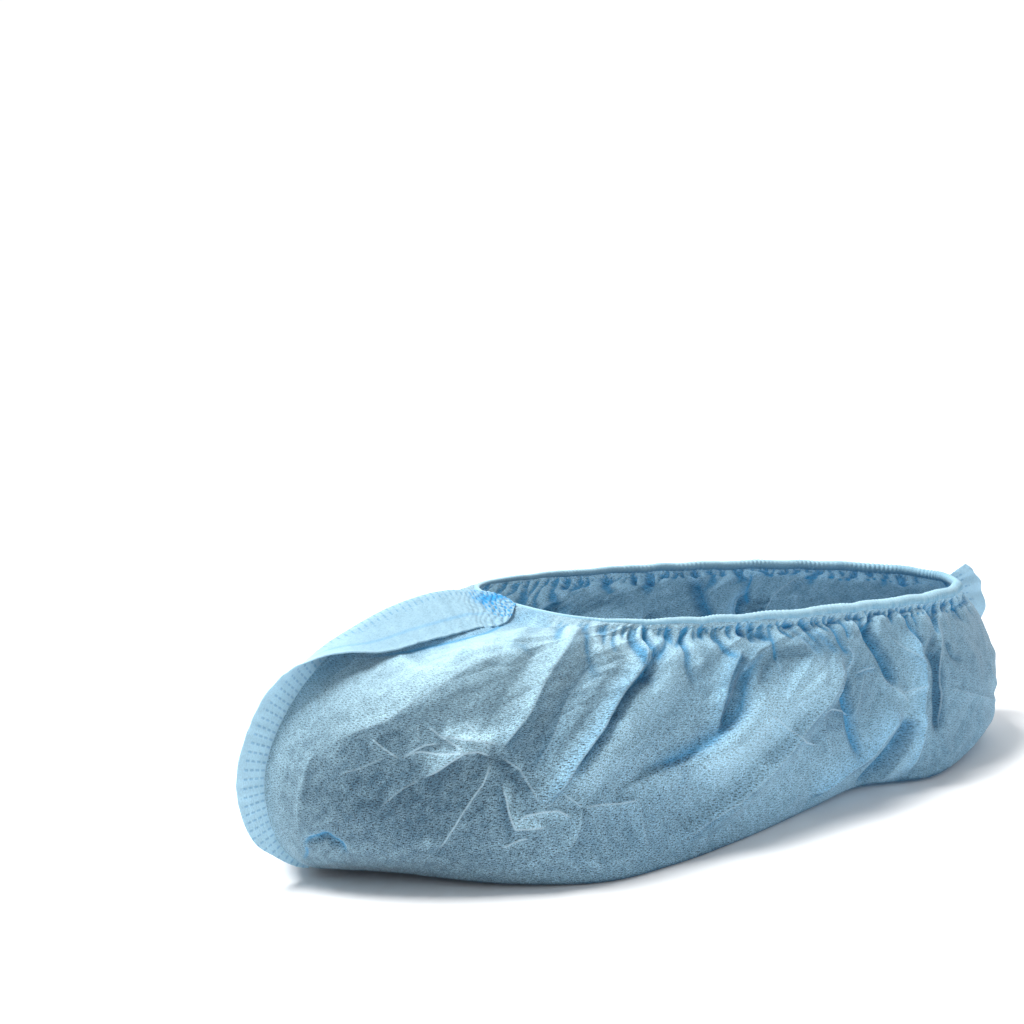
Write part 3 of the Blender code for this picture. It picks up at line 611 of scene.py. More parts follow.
def facets(spacing, height):
    """Heights over the wall from scattered points joined into flat triangles."""
    tall = height_up.max()
    along, up = np.meshgrid(np.arange(-1, girth / spacing + 2), np.arange(-1, tall / spacing + 2))
    seeds = np.stack([along.ravel(), up.ravel()], axis=1) * spacing
    seeds = seeds + rng.uniform(-SCATTER, SCATTER, seeds.shape) * spacing
    peaks = rng.uniform(-1, 1, len(seeds)) * height
    found = geometry.delaunay_2d_cdt([Vector(p) for p in seeds], [], [], 0, 1e-6)
    corners, triangles, source = np.array([tuple(v) for v in found[0]]), found[2], found[3]
    peaks = peaks[[which[0] for which in source]]
    spread = turns * girth
    heights = np.zeros(smooth.shape[:2])
    for triangle in triangles:
        a, b, c = corners[list(triangle)]
        low, high = np.minimum(np.minimum(a, b), c), np.maximum(np.maximum(a, b), c)
        first, last = np.searchsorted(spread, [low[0], high[0]])
        if first == last:
            continue
        u, v = np.broadcast_arrays(spread[None, first:last], height_up[:, first:last])
        area = (b[0] - a[0]) * (c[1] - a[1]) - (c[0] - a[0]) * (b[1] - a[1])
        second = ((u - a[0]) * (c[1] - a[1]) - (c[0] - a[0]) * (v - a[1])) / area
        third = ((b[0] - a[0]) * (v - a[1]) - (u - a[0]) * (b[1] - a[1])) / area
        inside = (second >= 0) & (third >= 0) & (second + third <= 1)
        value = peaks[triangle[0]] * (1 - second - third) + peaks[triangle[1]] * second
        covered = heights[:, first:last]
        covered[inside] = (value + peaks[triangle[2]] * third)[inside]
    return heights


crumple = sum(facets(spacing, height) for spacing, height in FACETS)
crumple = crumple * ((1 - fade(levels, *FACETS_END)) * fade(levels, *FACETS_BEGIN))[:, None]
print("facets rise", round(crumple.max() / MM, 2), "mm")

# %% [markdown]
# ## Gathers
# The elastic draws the mouth in to about two thirds of the cloth's length, and the spare cloth
# stands in small wedges under the hem: narrow grooves that open downwards and die out after one
# to three centimetres. There are two sets, one of long gathers and one of small pleats between
# them that stay close under the hem. Each gather has a place, a depth, a width, a length and a
# slant of its own.

# %% Gathers under the hem
# How many, how deep, the least share of the height and how much longer the longest ones are
GATHER_SETS = ((92, 0.85, 0.11, 0.28), (176, 0.85, 0.07, 0.13))
# The spread of the sizes and of the widths, which are shares of the pitch
GATHER_SIZES, GATHER_WIDTHS = (0.35, 1.3), (0.30, 0.55)
# How much wider a gather gets on its way down, how narrow its ground is, how many are short ones
WIDENING, NARROW, SHORT = 2.5, 1.6, 1.8
# Gathers run towards the heel on their way down, most of all beside the instep
GATHER_SLANT = ((0, 0.15, 0.35, 0.6, 0.8, 1), (0.5, 0.55, 0.48, 0.25, 0, 0))
GATHER_DEPTH = 2.3 * MM
# Half turns over which the gathers grow beside the toe seam, and levels below the edge over which
# they flatten out at the hem, down to the last share
GATHERS_BEGIN, GATHERS_GROW = (0.02, 0.25), (0.2, 0.45)
HEM_LEVELS, HEM_SHARE = (0.0, 0.04), 0.12
mouth_length = ring_length(1)
gathers = np.zeros(smooth.shape[:2])
below_edge = (1 - levels)[:, None]
for count, strength, shortest, longer in GATHER_SETS:
    pitch = mouth_length / count
    print("gathers are", round(pitch / MM, 1), "mm apart")
    for number in range(count):
        place = (number + rng.uniform(0.15, 0.85)) / count
        size, wide_share = rng.uniform(*GATHER_SIZES), rng.uniform(*GATHER_WIDTHS)
        nearer = min(place, 1 - place) / HALF_TURN
        slant = np.interp(nearer, *GATHER_SLANT) + rng.normal(0, 0.05)
        reach_down = shortest + longer * rng.uniform(0, 1) ** SHORT
        centre = place + slant * below_edge * HALF_TURN * (1 if place < 0.5 else -1)
        away = np.abs((turns[None] - centre + 0.5) % 1 - 0.5) * mouth_length
        width = pitch * wide_share * (1 + WIDENING * below_edge / reach_down)
        groove = np.clip(1 - away / width, 0, 1) ** NARROW
        down = 1 - fade(below_edge, reach_down * 0.35, reach_down)
        gathers -= strength * size * groove * down
gathers = gathers * GATHER_DEPTH * fade(half, *GATHERS_BEGIN) * (0.6 + 0.4 * fade(half, *GATHERS_GROW))
gathers = gathers * (HEM_SHARE + (1 - HEM_SHARE) * fade(below_edge, *HEM_LEVELS))
print("the deepest gather is", round(-gathers.min() / MM, 1), "mm deep")

# %% [markdown]
# The hem is held by a row of welded dots, a few millimetres below its roll. Each dot pulls the
# cloth in and leaves a dimple, and in every dimple the doubled cloth looks deep blue.

# %% Weld dots under the hem
DOT_PITCH, DOT_DOWN, DOT_RADIUS, DOT_DEPTH = 2.9 * MM, 4.2 * MM, 0.65 * MM, 0.6 * MM
from_edge = height_up[-1] - height_up
dots = np.zeros(smooth.shape[:2])
for number in range(round(mouth_length / DOT_PITCH)):
    place = (number + rng.uniform(-0.2, 0.2)) * DOT_PITCH / mouth_length
    down = DOT_DOWN * (0.75 + 0.5 * (1 - 2 * abs(place - 0.5))) * rng.uniform(0.85, 1.15)
    across = ((turns[None] - place + 0.5) % 1 - 0.5) * mouth_length
    far = (across**2 + (0.8 * (from_edge - down)) ** 2) / DOT_RADIUS**2
    dots = np.maximum(dots, np.exp(-far) * rng.uniform(0.5, 1.0))
dots = dots * fade(half, 0.12, 0.25)[None]
print("weld dots", round(mouth_length / DOT_PITCH))

# %% [markdown]
# The fin of the toe seam lies folded on the outer side and presses a shallow valley into the cloth
# under it. On the inner side the same pull draws the shoulder of the toe down. Both are soft
# hollows, a bell curve round the cover and a fade at either end on the way up. Folds and gathers
# stop beside the seams, so that the fins still stand on the wall.

# %% Moved wall
SEAM_CLEAR, SEAM_SOFT = 0.03, 0.07
HOLLOWS = (
    ("side", "depth", "place", "width", "from", "full", "fade", "end"),
    (OUTER, 4.6, 0.075, 0.042, 0.52, 0.70, 0.95, 1.00),
    (INNER, 6.2, 0.110, 0.085, 0.36, 0.56, 0.74, 1.02),
    (INNER, 1.6, 0.130, 0.100, 0.75, 0.90, 1.01, 1.02),
)
# Levels over which the inner hollows and the creases end below the hem
HOLLOW_END, CREASES_END = (0.93, 0.99), (0.90, 0.985)
clear = fade(np.minimum(half, 1 - half), SEAM_CLEAR, SEAM_SOFT)[None]
top = (1 - fade(levels, *CREASES_END))[:, None]
small = (crumple + gathers - DOT_DEPTH * dots) * clear
upward = levels[:, None]
inward = small
for hollow in rows_of(HOLLOWS):
    sunk = hollow["depth"] * MM * bell(half, hollow["place"], hollow["width"])
    sunk = sunk * fade(upward, hollow["from"], hollow["full"])
    sunk = sunk * (1 - fade(upward, hollow["fade"], hollow["end"])) * (side == hollow["side"])
    inward = inward - (sunk if hollow["side"] == OUTER else sunk * (1 - fade(upward, *HOLLOW_END)))
wall = smooth + move.reshape(smooth.shape) * (clear * top)[..., None] + outward * inward[..., None]
wall[..., 2] = np.maximum(wall[..., 2], 0)
wall[0, :, 2] = smooth[0, :, 2]
lift = lift.reshape(smooth.shape[:2]) * clear * top + small
print("the wall rises from", round(lift.min() / MM, 1), "to", round(lift.max() / MM, 1), "mm")

# %% [markdown]
# The tone of the cloth is worked out from its form, as a value on each point: 0 where the cloth
# is tight over the ball of the foot, 1 where it stands off in ridges, in the gathers and beside
# the seams. Much of it is painted light and shade: crests and rises are painted pale like lit
# cloth, grooves and the foot of the wall dark like shaded cloth. Grooves get some of the deep
# blue that light has after passing through more layers, painted there as shade.
# Where the photograph shows a wide and soft patch that is darker or paler than that, a patch in
# the table does the same.

# %% Tone of the cloth
BASE_TONE = 0.375
# Pools of painted light and shade: place on the half turn, level, reach round, reach up, and how much
# paler or darker
LIGHT_AND_SHADE_PATCHES = (
    (0.17, 0.32, 0.13, 0.26, -0.32),
    (0.10, 0.78, 0.10, 0.22, 0.26),
    (0.63, 0.43, 0.06, 0.18, -0.32),
    (0.40, 0.14, 0.13, 0.15, -0.14),
    (0.79, 0.14, 0.10, 0.16, -0.13),
    (0.83, 0.50, 0.06, 0.20, -0.11),
    (0.28, 0.50, 0.05, 0.12, -0.11),
    (0.51, 0.46, 0.06, 0.12, -0.12),
    (0.72, 0.27, 0.03, 0.15, 0.12),
    (0.33, 0.72, 0.07, 0.12, -0.07),
    (0.55, 0.35, 0.16, 0.30, 0.12),
    (0.14, 0.86, 0.10, 0.14, 0.14),
)


def patch(place, level, reach_round, reach_up):
    """A soft round patch on both sides, 1 in its middle."""
    return bell(half, place, reach_round) * bell(upward, level, reach_up)


def soften(values, times):
    """Values averaged with their neighbours, over and over."""
    for _ in range(times):
        padded = np.concatenate([values[:1], values, values[-1:]])
        values = (padded[:-2] + padded[2:] + np.roll(values, 1, 1) + np.roll(values, -1, 1)) / 4
    return values


# Small crests and grooves, the wide rises, the strip beside a seam and the painted shadow under the
# folded fin
sharp = small - soften(small, 8)
crest, groove = fade(sharp, 0.03 * MM, 0.25 * MM), fade(-sharp, 0.03 * MM, 0.25 * MM)
broad = fade(soften(lift, 60), -0.5 * MM, 3.5 * MM)
at_seam = 1 - fade(half, 0.005, 0.06)
fin_shadow = bell(half, 0.055, 0.02) * fade(upward, 0.66, 0.8) * (side == OUTER)
# Painted highlights and shade: crests and wide rises are paler, small grooves darker, more so under the
# hem
tone = BASE_TONE + 0.22 * broad + 0.22 * crest - 0.12 * groove
tone = tone + (0.18 * crest - 0.07 * groove) * fade(upward, 0.66, 0.82)
# Painted light and shade on the two sides of each crease, then the wide pools of painted light and shade
tone = tone + side_light_and_shade.reshape(tone.shape) * clear
tone = tone + sum(amount * patch(*place) for *place, amount in LIGHT_AND_SHADE_PATCHES)
# The foot of the wall is in shade, the gathers are pale, and so is the cloth at the toe seam
tone = tone - 0.45 * (1 - fade(upward, 0.0, 0.035))
tone = tone + 0.40 * fade(upward, 0.80, 0.96) * fade(half, 0.1, 0.35)
tone = tone + 0.22 * at_seam + 0.06 * fade(half, 0.25, 0.4)
# Painted blue shade along creases, in the gathers' grooves and under the folded fin, more blue towards
# the heel, and the blue of the weld dots
blue_shade_and_welds = blue.reshape(tone.shape) * clear + 0.60 * groove * fade(upward, 0.7, 0.9)
blue_shade_and_welds = blue_shade_and_welds + 0.16 * fade(half, 0.22, 0.42) + 0.38 * dots + 0.30 * fin_shadow
print("tone from", round(tone.min(), 2), "to", round(tone.max(), 2))

# %% Mesh helpers


def sole_rows(edge):
    """Points from the sole's middle line out to its edge, as rows by columns."""
    table = columns(OUTLINE)
    y = -TREAD_FRONT + spline(table["turn"], table["along"], half) * (TREAD_FRONT + TREAD_BACK)
    middle = np.stack([0 * y, y, 0 * y], axis=1)
    shares = np.arange(SOLE_ROWS) / SOLE_ROWS
    return middle + shares[:, None, None] * (edge - middle)


def grid_mesh(name, rows, uv, attributes, closed=False, turn_length=0.0):
    """A mesh from rows of points, with a UV map in metres and values per point.

    closed joins the last column to the first one, whose UVs lie turn_length further on there.
    """
    count_rows, count = rows.shape[:2]
    row, column = np.indices((count_rows - 1, count if closed else count - 1)).reshape(2, -1)
    beside = (column + 1) % count
    low, high = row * count, (row + 1) * count
    faces = np.stack([low + column, low + beside, high + beside, high + column], axis=1)
    mesh = bpy.data.meshes.new(name)
    mesh.from_pydata(rows.reshape(-1, 3).tolist(), [], faces.tolist())
    for key, values in attributes.items():
        layer = mesh.attributes.new(key, "FLOAT", "POINT")
        layer.data.foreach_set("value", np.clip(values, -1, 1).ravel().astype(np.float32))
    corners = uv.reshape(-1, 2)[faces]
    corners[column + 1 == count, 1:3, 0] += turn_length
    mesh.uv_layers.new(name="cloth").data.foreach_set("uv", corners.astype(np.float32).ravel())
    mesh.shade_smooth()
    piece = bpy.data.objects.new(name, mesh)
    bpy.context.scene.collection.objects.link(piece)
    return piece


def weld(piece):
    """Joins points that lie in the same place, as on the sole's middle line."""
    tool = bmesh.new()
    tool.from_mesh(piece.data)
    bmesh.ops.remove_doubles(tool, verts=tool.verts, dist=1e-6)
    tool.to_mesh(piece.data)
    tool.free()


def with_sole(values):
    """The wall's values with those of the sole's edge repeated under the foot."""
    return np.concatenate([np.repeat(values[:1], SOLE_ROWS, 0), values])


# %% Cover sheet
rows = np.concatenate([sole_rows(wall[0]), wall])
under = np.linalg.norm(rows[:SOLE_ROWS] - wall[0], axis=2)
up = np.concatenate([-under, height_up])
uv = np.stack([np.repeat(turns[None] * girth, len(rows), 0), up], axis=-1)
# The grain hardly shows towards the heel, on the pale cloth of the instep and beside the toe seam
calm = fade(half, 0.35, 0.85) + 0.9 * patch(0.10, 0.80, 0.08, 0.24)
calm = calm + 0.6 * (1 - fade(half, 0.05, 0.14))
attributes = {"tone": with_sole(tone), "blue_shade_and_welds": with_sole(blue_shade_and_welds), "calm": with_sole(calm)}
for number in range(LINE_GROUPS):
    attributes[f"gap_{number}"] = with_sole(gaps[number].reshape(tone.shape))
    attributes[f"mark_{number}"] = with_sole(painted_lines[number].reshape(tone.shape) * clear)
cover = grid_mesh("cover_sheet", rows, uv, attributes, closed=True, turn_length=girth)
weld(cover)
print("cover sheet has", len(cover.data.polygons), "faces")

# %% [markdown]
# ## Seams
# Down the toe and down the heel the two halves are welded by a wheel that leaves rows of short
# dashes, 2.5 mm apart, with five dashes across a band of 12 mm. The welded band stands up as a
# fin. On the instep it has been brushed over to the outer side, and where the elastic starts it
# is drawn up into a bunch, in which the dashes lie closer and the cloth is crinkled. It is a strip
# laid along the seam line here: its table says how wide it is, how far it leans over and how much
# it ruffles on the way up.

# %% Seam tables
RUFFLE_HEIGHT, RUFFLE_PITCH = 1.3 * MM, 6 * MM
# Width in mm, lean and droop in degrees, the shares of the width over which it bends over
# In both tables deep adds painted blue shade to the fin
TOE_FIN = (
    ("level", "width", "lean", "droop", "from", "to", "ruffle", "bunch", "deep"),
    (0.02, 1.0, 0, 0, 0.20, 0.90, 0.0, 0.0, 0.0),
    (0.06, 2.4, 0, 0, 0.20, 0.90, 0.0, 0.0, 0.0),
    (0.118, 4.4, 0, 0, 0.20, 0.90, 0.0, 0.0, 0.0),
    (0.17, 8.0, 0, 0, 0.20, 0.90, 0.0, 0.0, 0.0),
    (0.22, 9.6, 0, 0, 0.20, 0.90, 0.1, 0.0, 0.0),
    (0.28, 10.8, 0, 0, 0.20, 0.90, 0.2, 0.0, 0.0),
    (0.42, 11.2, 0, 0, 0.18, 0.90, 0.2, 0.0, 0.0),
    (0.48, 11.8, 8, 0, 0.14, 0.90, 0.2, 0.0, 0.0),
    (0.54, 13.0, 36, 0, 0.10, 0.84, 0.2, 0.0, 0.0),
    (0.60, 15.6, 80, 0, 0.08, 0.72, 0.1, 0.0, 0.0),
    (0.68, 19.5, 116, 0, 0.06, 0.46, 0.1, 0.0, 0.0),
    (0.78, 23.5, 122, 0, 0.08, 0.32, 0.2, 0.0, 0.0),
    (0.88, 24.5, 122, 0, 0.08, 0.32, 0.2, 0.3, 0.0),
    (0.95, 21.5, 118, 4, 0.08, 0.34, 0.3, 1.0, 0.0),
    (1.00, 9.0, 104, 14, 0.10, 0.45, 0.3, 1.0, 0.0),
)
HEEL_FIN = (
    ("level", "width", "lean", "droop", "from", "to", "ruffle", "bunch", "deep"),
    (0.06, 3.5, 84, 0, 0.0, 0.5, 0.0, 0.0, 0.0),
    (0.12, 7.0, 84, 0, 0.0, 0.5, 0.0, 0.0, 0.0),
    (0.30, 11.0, 84, 0, 0.0, 0.5, 0.1, 0.0, 0.05),
    (0.42, 11.5, 80, 10, 0.0, 0.5, 0.2, 0.0, 0.1),
    (0.50, 12.0, 66, 25, 0.0, 0.7, 0.4, 0.0, 0.15),
    (0.58, 13.0, 35, 40, 0.0, 0.9, 0.6, 0.0, 0.15),
    (0.68, 14.0, 12, 45, 0.0, 0.9, 0.9, 0.05, 0.1),
    (0.80, 15.5, 0, 40, 0.0, 0.9, 1.1, 0.1, 0.1),
    (0.90, 15.5, 0, 30, 0.0, 0.9, 1.1, 0.15, 0.1),
    (1.00, 13.0, 0, 18, 0.0, 0.9, 0.9, 0.3, 0.1),
)
SEAM_GAP, SEAM_CLOTH = 0.5 * MM, 0.45 * MM
WELD_ROWS, WELD_ACROSS, WELD_LONG, WELD_WIDE = 2.5 * MM, 2.1 * MM, 1.4 * MM, 0.55 * MM
WELD_DEPTH, WELD_REACH = 0.10 * MM, 10 * MM
BUNCH_PITCH, BUNCH_HEIGHT, BUNCH_SHARE = 2.6 * MM, 0.4 * MM, 0.5


def weld_dashes(dash_row, packed, out, knot):
    """1 inside a dash of the weld and 0 beside it. packed is the dashes' distance up the seam."""
    beside = np.abs((dash_row + 0.5) % 1 - 0.5) * packed
    sideways = np.abs((out / WELD_ACROSS + 0.5) % 1 - 0.5) * WELD_ACROSS
    dash = 1 - fade(beside, 0.3 * WELD_WIDE, 0.8 * WELD_WIDE)
    dash = dash * (1 - fade(sideways, 0.35 * WELD_LONG, 0.6 * WELD_LONG))
    return dash * (out < WELD_REACH * (1 + knot))


def crinkles(along, out):
    """Small waves of the bunched cloth, from -1 to 1."""
    upwards = 2 * np.pi * along / BUNCH_PITCH + 2.4 * np.sin(out / BUNCH_PITCH * 1.7)
    sideways = 2 * np.pi * out / BUNCH_PITCH / 1.6 + 1.9 * np.sin(along / BUNCH_PITCH * 1.3)
    return np.sin(upwards) * np.sin(sideways)


def seam_fin(name, table, turn, count, steps):
    """A doubled strip that stands on the seam, leans over and carries rows of weld dashes."""
    form = columns(table)
    levels_up = np.linspace(form["level"][0], form["level"][-1], count)
    line = smooth_wall([turn], levels_up)[:, 0]
    length = np.append(0, np.cumsum(np.linalg.norm(np.diff(line, axis=0), axis=1)))
    even_up = np.interp(np.linspace(0, length[-1], count), length, levels_up)
    read = {key: spline(form["level"], form[key], even_up) for key in form}
    roots = smooth_wall([turn], even_up)[:, 0]
    normals = wall_normals([turn], even_up)[:, 0]
    upward = unit(np.gradient(roots, axis=0))
    across = unit(np.cross(upward, normals))
    droop = np.radians(read["droop"])[:, None]
    stand = np.cos(droop) * normals - np.sin(droop) * upward
    along = np.linspace(0, length[-1], count)
    uneven = 1.3 * np.sin(along / RUFFLE_PITCH * 2.1)
    wave = 0.5 - 0.5 * np.cos(2 * np.pi * along / RUFFLE_PITCH + uneven)
    packed = WELD_ROWS * (1 - BUNCH_SHARE * read["bunch"])
    dash_row = np.cumsum(np.gradient(along) / packed)
    knot = fade(read["bunch"], 0.5, 1.0)
    point = roots - normals * MM
    rows, dashes, dents, out = [point], [], [], np.zeros(count)
    for step in range(steps):
        bend = fade(((step + 0.5) / steps - read["from"]) / (read["to"] - read["from"]), 0, 1)
        angle = np.radians(read["lean"] * bend)[:, None]
        part = ((read["width"] * MM + SEAM_GAP) / steps)[:, None]
        point = point + part * (np.cos(angle) * stand + np.sin(angle) * across)
        out = out + part[:, 0]
        facing = np.sin(angle) * stand - np.cos(angle) * across
        share = (step + 1) / steps
        swell = RUFFLE_HEIGHT * read["ruffle"] * wave * share
        crinkle = crinkles(along, out)
        swell = swell + BUNCH_HEIGHT * read["bunch"] * crinkle * fade(share, 0.1, 0.4)
        dashes.append(weld_dashes(dash_row, packed, out, knot))
        dents.append(read["bunch"] * (0.5 - 0.5 * crinkle))
        rows.append(point + (swell - WELD_DEPTH * dashes[-1])[:, None] * facing)
    dashes, dents = np.stack(dashes[:1] + dashes), np.stack(dents[:1] + dents)
    inside = np.linspace(0, 1, steps + 1)[:, None]
    uv = np.stack([np.repeat(along[None], steps + 1, 0), inside * read["width"] * MM], axis=-1)
    # The folded part, which faces up into the light, is painted darker as shade. The bunch gets painted
    # deep blue shade through its middle and in its crinkles, a fine painted blue shade line runs below
    # it, and the weld dashes are darker and bluer
    folded = fade(read["lean"], 60, 90)
    deep = (0.25 + 0.65 * knot) * dashes + 0.2 * dents * knot + read["deep"]
    deep = deep + 0.95 * knot * bell(inside, 0.45, 0.09) * folded
    deep = deep + 0.30 * (1 - knot) * bell(inside, 0.74, 0.025) * folded
    light = 0.8 - 0.35 * dashes - 0.6 * folded * (1 - fade(inside, 0.9, 1.0) * 0.3)
    fin = grid_mesh(name, np.stack(rows), uv, {"tone": light, "blue_shade_and_welds": deep})
    solid = fin.modifiers.new("two_layers", "SOLIDIFY")
    solid.thickness, solid.offset = SEAM_CLOTH, 0
    print(name, "is", round(length[-1], 3), "m long with", len(fin.data.polygons), "faces")
    return fin


toe_fin = seam_fin("toe_seam_fin", TOE_FIN, turn=0.0, count=900, steps=44)
heel_fin = seam_fin("heel_seam_fin", HEEL_FIN, turn=HALF_TURN, count=420, steps=34)

# %% [markdown]
# ## Hem
# The mouth's edge is rolled round a thin elastic and welded with a row of dots. It is a tube of
# cloth that the elastic has shortened by a third, so it is full of little puckers, thin in front
# where it was stretched most and thick at the heel. The tube's own section shrinks at each gather
# of the wall below it, and a finer ripple runs over it.

# %% Rolled hem
HEM_COLUMNS, HEM_SIDES, HEM_FLAT = 1500, 18, 0.80
# The row of the wall, counted from its edge, whose gathers the hem follows
UNDER_HEM = -4
RIPPLES, SWAYS = 290, 23
PUCKER_SHARE, RIPPLE_SHARE, SWAY = 0.16, 0.10, 0.25 * MM


def rolled_hem():
    """The puckered tube on the mouth's edge."""
    places = np.arange(HEM_COLUMNS) / HEM_COLUMNS
    part = np.minimum(places, 1 - places) / HALF_TURN
    radius = HEM_FRONT_RADIUS + (HEM_BACK_RADIUS - HEM_FRONT_RADIUS) * fade(part, 0.05, 0.85)
    edge = smooth_wall(places, [1])[0]
    normals = wall_normals(places, [1])[0]
    upward = unit(np.cross(normals, np.roll(edge, -1, axis=0) - np.roll(edge, 1, axis=0)))
    depth = np.interp(places, turns, gathers[UNDER_HEM]) / GATHER_DEPTH
    drift = np.cumsum(rng.normal(0, 0.05, HEM_COLUMNS))
    drift = drift - np.linspace(0, drift[-1], HEM_COLUMNS)
    around = np.arange(HEM_SIDES) / HEM_SIDES * 2 * np.pi
    ripple = np.sin(2 * np.pi * RIPPLES * places[None] + drift[None] + 1.2 * np.sin(around)[:, None])
    soft = fade(part, 0.02, 0.2)[None] * (0.6 + 0.4 * np.sin(37 * np.pi * places + 2 * drift)[None])
    pucker = PUCKER_SHARE * depth[None] * (0.6 - 0.4 * np.sin(around))[:, None]
    size = radius[None] * (1 + pucker + RIPPLE_SHARE * ripple * soft)
    centre = edge + upward * (radius * 0.75)[:, None] - normals * 0.3 * MM
    sway = SWAY * np.sin(2 * np.pi * SWAYS * places + 3 * drift) * fade(part, 0.05, 0.3)
    centre = centre + upward * sway[:, None]
    rows = (
        centre[None]
        - HEM_FLAT * (size * np.cos(around)[:, None])[..., None] * normals[None]
        + (size * np.sin(around)[:, None])[..., None] * upward[None]
    )
    rows = np.concatenate([rows, rows[:1]])
    angle = np.append(around, 2 * np.pi)[:, None]
    uv = np.stack(np.broadcast_arrays(places * girth, angle * 2 * MM), axis=-1)
    # Painted shade: the roll is darker and bluer on its underside and in its puckers. It is also darker
    # towards the heel
    dark, low = np.concatenate([pucker, pucker[:1]]), 1 - fade(np.sin(angle), -0.7, 0.2)
    light = 0.80 + 2.0 * dark - 0.25 * low - 0.45 * fade(part, 0.7, 1.0)
    values = {"tone": light, "blue_shade_and_welds": -2.2 * dark * low + 0.15 * low}
    hem = grid_mesh("hem_roll", rows, uv, values, closed=True, turn_length=girth)
    weld(hem)
    print("hem roll has", len(hem.data.polygons), "faces")
    return hem


hem = rolled_hem()

# %% [markdown]
# ## The cloth
# Spunbond polypropylene is a mat of endless fibres about 0.02 mm thick, laid at random and then
# pressed between a smooth and a studded roller. The studs melt it together in small points, here
# in columns 1.8 mm apart with a point every millimetre. The mat is thin enough to see into, so it
# looks grainy: thin spots are darker, thick spots are whiter. Where it lies tight it is greyer,
# and where it is lifted, doubled or gathered it is paler and bluer. The same mix of colours also
# carries painted light and shade: pale highlights on crests and rises, and grey and deep blue shade
# in grooves and hollows. The fibres are far too fine to show, so their grain is drawn about half a
# millimetre wide, as a camera sees it.

# %% Cloth material
BOND_COLUMNS, BOND_PITCH, BOND_SCATTER = 1.8 * MM, 1.0 * MM, 0.65
GRAIN, CLOUD = 0.45 * MM, 4.0 * MM
PACKET_FOLDS, PACKET_TILT = 17 * MM, 6.5 * MM
LINE_FINE, PALE_SOFT, DEEP_SOFT = 0.10 * MM, 0.50 * MM, 0.9 * MM
# The pale crease lines are painted highlights on crests, the deep blue ones painted shade in grooves
LINE_STRENGTH, CREST_HIGHLIGHT_COLOR = 0.54, "#C6E4F4"
BUMP_STRENGTH, BUMP_DEPTH = 0.35, 0.15 * MM
PLASTIC_IOR, PLASTIC_ROUGHNESS, SPECULAR, SHEEN = 1.49, 0.72, 0.35, 0.15


def bonded_points(tree, uv):
    """1 in the middle of each point that the studs melted, 0 between them."""
    squeeze = (2**0.5 / (2 * BOND_COLUMNS), 2**0.5 / BOND_PITCH, 1)
    lattice = add(tree, "Mapping", {"Vector": uv}, {"Scale": squeeze, "Rotation": (0, 0, np.pi / 4)})
    far = add(
        tree,
        "TexVoronoi",
        {"Vector": lattice.outputs["Vector"]},
        {"Scale": 1.0, "Randomness": BOND_SCATTER},
        voronoi_dimensions="2D",
    ).outputs["Distance"]
    ends = {"From Min": 0.32, "From Max": 0.08}
    return add(tree, "MapRange", {"Value": far}, ends, interpolation_type="SMOOTHSTEP").outputs["Result"]


def noise(tree, uv, size, **inputs):
    """Fine noise on the cloth whose largest spots have this size."""
    inputs = {"Scale": 1 / size, "Detail": 3.0, **inputs}
    return add(tree, "TexNoise", {"Vector": uv}, inputs, noise_dimensions="2D").outputs["Fac"]


def packet_tilt(tree, uv):
    """The cloth's normal, tilted another way in each facet that the packet has left."""
    cells = {"links": {"Vector": uv}, "inputs": {"Scale": 1 / PACKET_FOLDS}, "voronoi_dimensions": "2D"}
    edges = add(tree, "TexVoronoi", **cells, feature="DISTANCE_TO_EDGE").outputs["Distance"]
    color = add(tree, "TexVoronoi", **cells).outputs["Color"]
    turned = add(tree, "VectorMath", {0: color}, {1: (1, 0, 0)}, operation="DOT_PRODUCT")
    turned = add(tree, "Math", {0: turned.outputs["Value"]}, {1: 0.5}, operation="SUBTRACT")
    facet = add(tree, "Math", {0: turned.outputs[0], 1: edges}, operation="MULTIPLY")
    inputs = {"Strength": 1.0, "Distance": PACKET_TILT}
    return add(tree, "Bump", {"Height": facet.outputs[0]}, inputs).outputs["Normal"]


def drawn_lines(tree, sign, soft):
    """Painted pale highlight lines on crests for sign 1 and painted deep blue shade lines in grooves for
    -1, from the nearest crease's distance.
    """
    drawn = None
    ends = {"From Min": soft, "From Max": LINE_FINE}
    scale = {1: sign * LINE_STRENGTH}
    for number in range(LINE_GROUPS):
        gap, mark = [
            add(tree, "Attribute", attribute_name=f"{key}_{number}").outputs["Fac"]
            for key in ("gap", "mark")
        ]
        size = add(tree, "Math", {0: gap}, operation="ABSOLUTE").outputs[0]
        thin = add(tree, "MapRange", {"Value": size}, ends, interpolation_type="SMOOTHSTEP")
        mark = add(tree, "Math", {0: mark}, scale, operation="MULTIPLY", use_clamp=True)
        line = add(tree, "Math", {0: thin.outputs["Result"], 1: mark.outputs[0]}, operation="MULTIPLY")
        if number:
            line = add(tree, "Math", {0: drawn, 1: line.outputs[0]}, operation="MAXIMUM")
        drawn = line.outputs[0]
    return drawn


def mixed(tree, share, color, code):
    """A colour turned into that of the hex code by a share from 0 to 1."""
    return add(tree, "Mix", {0: share, 6: color}, {7: linear(code)}, data_type="RGBA").outputs[2]


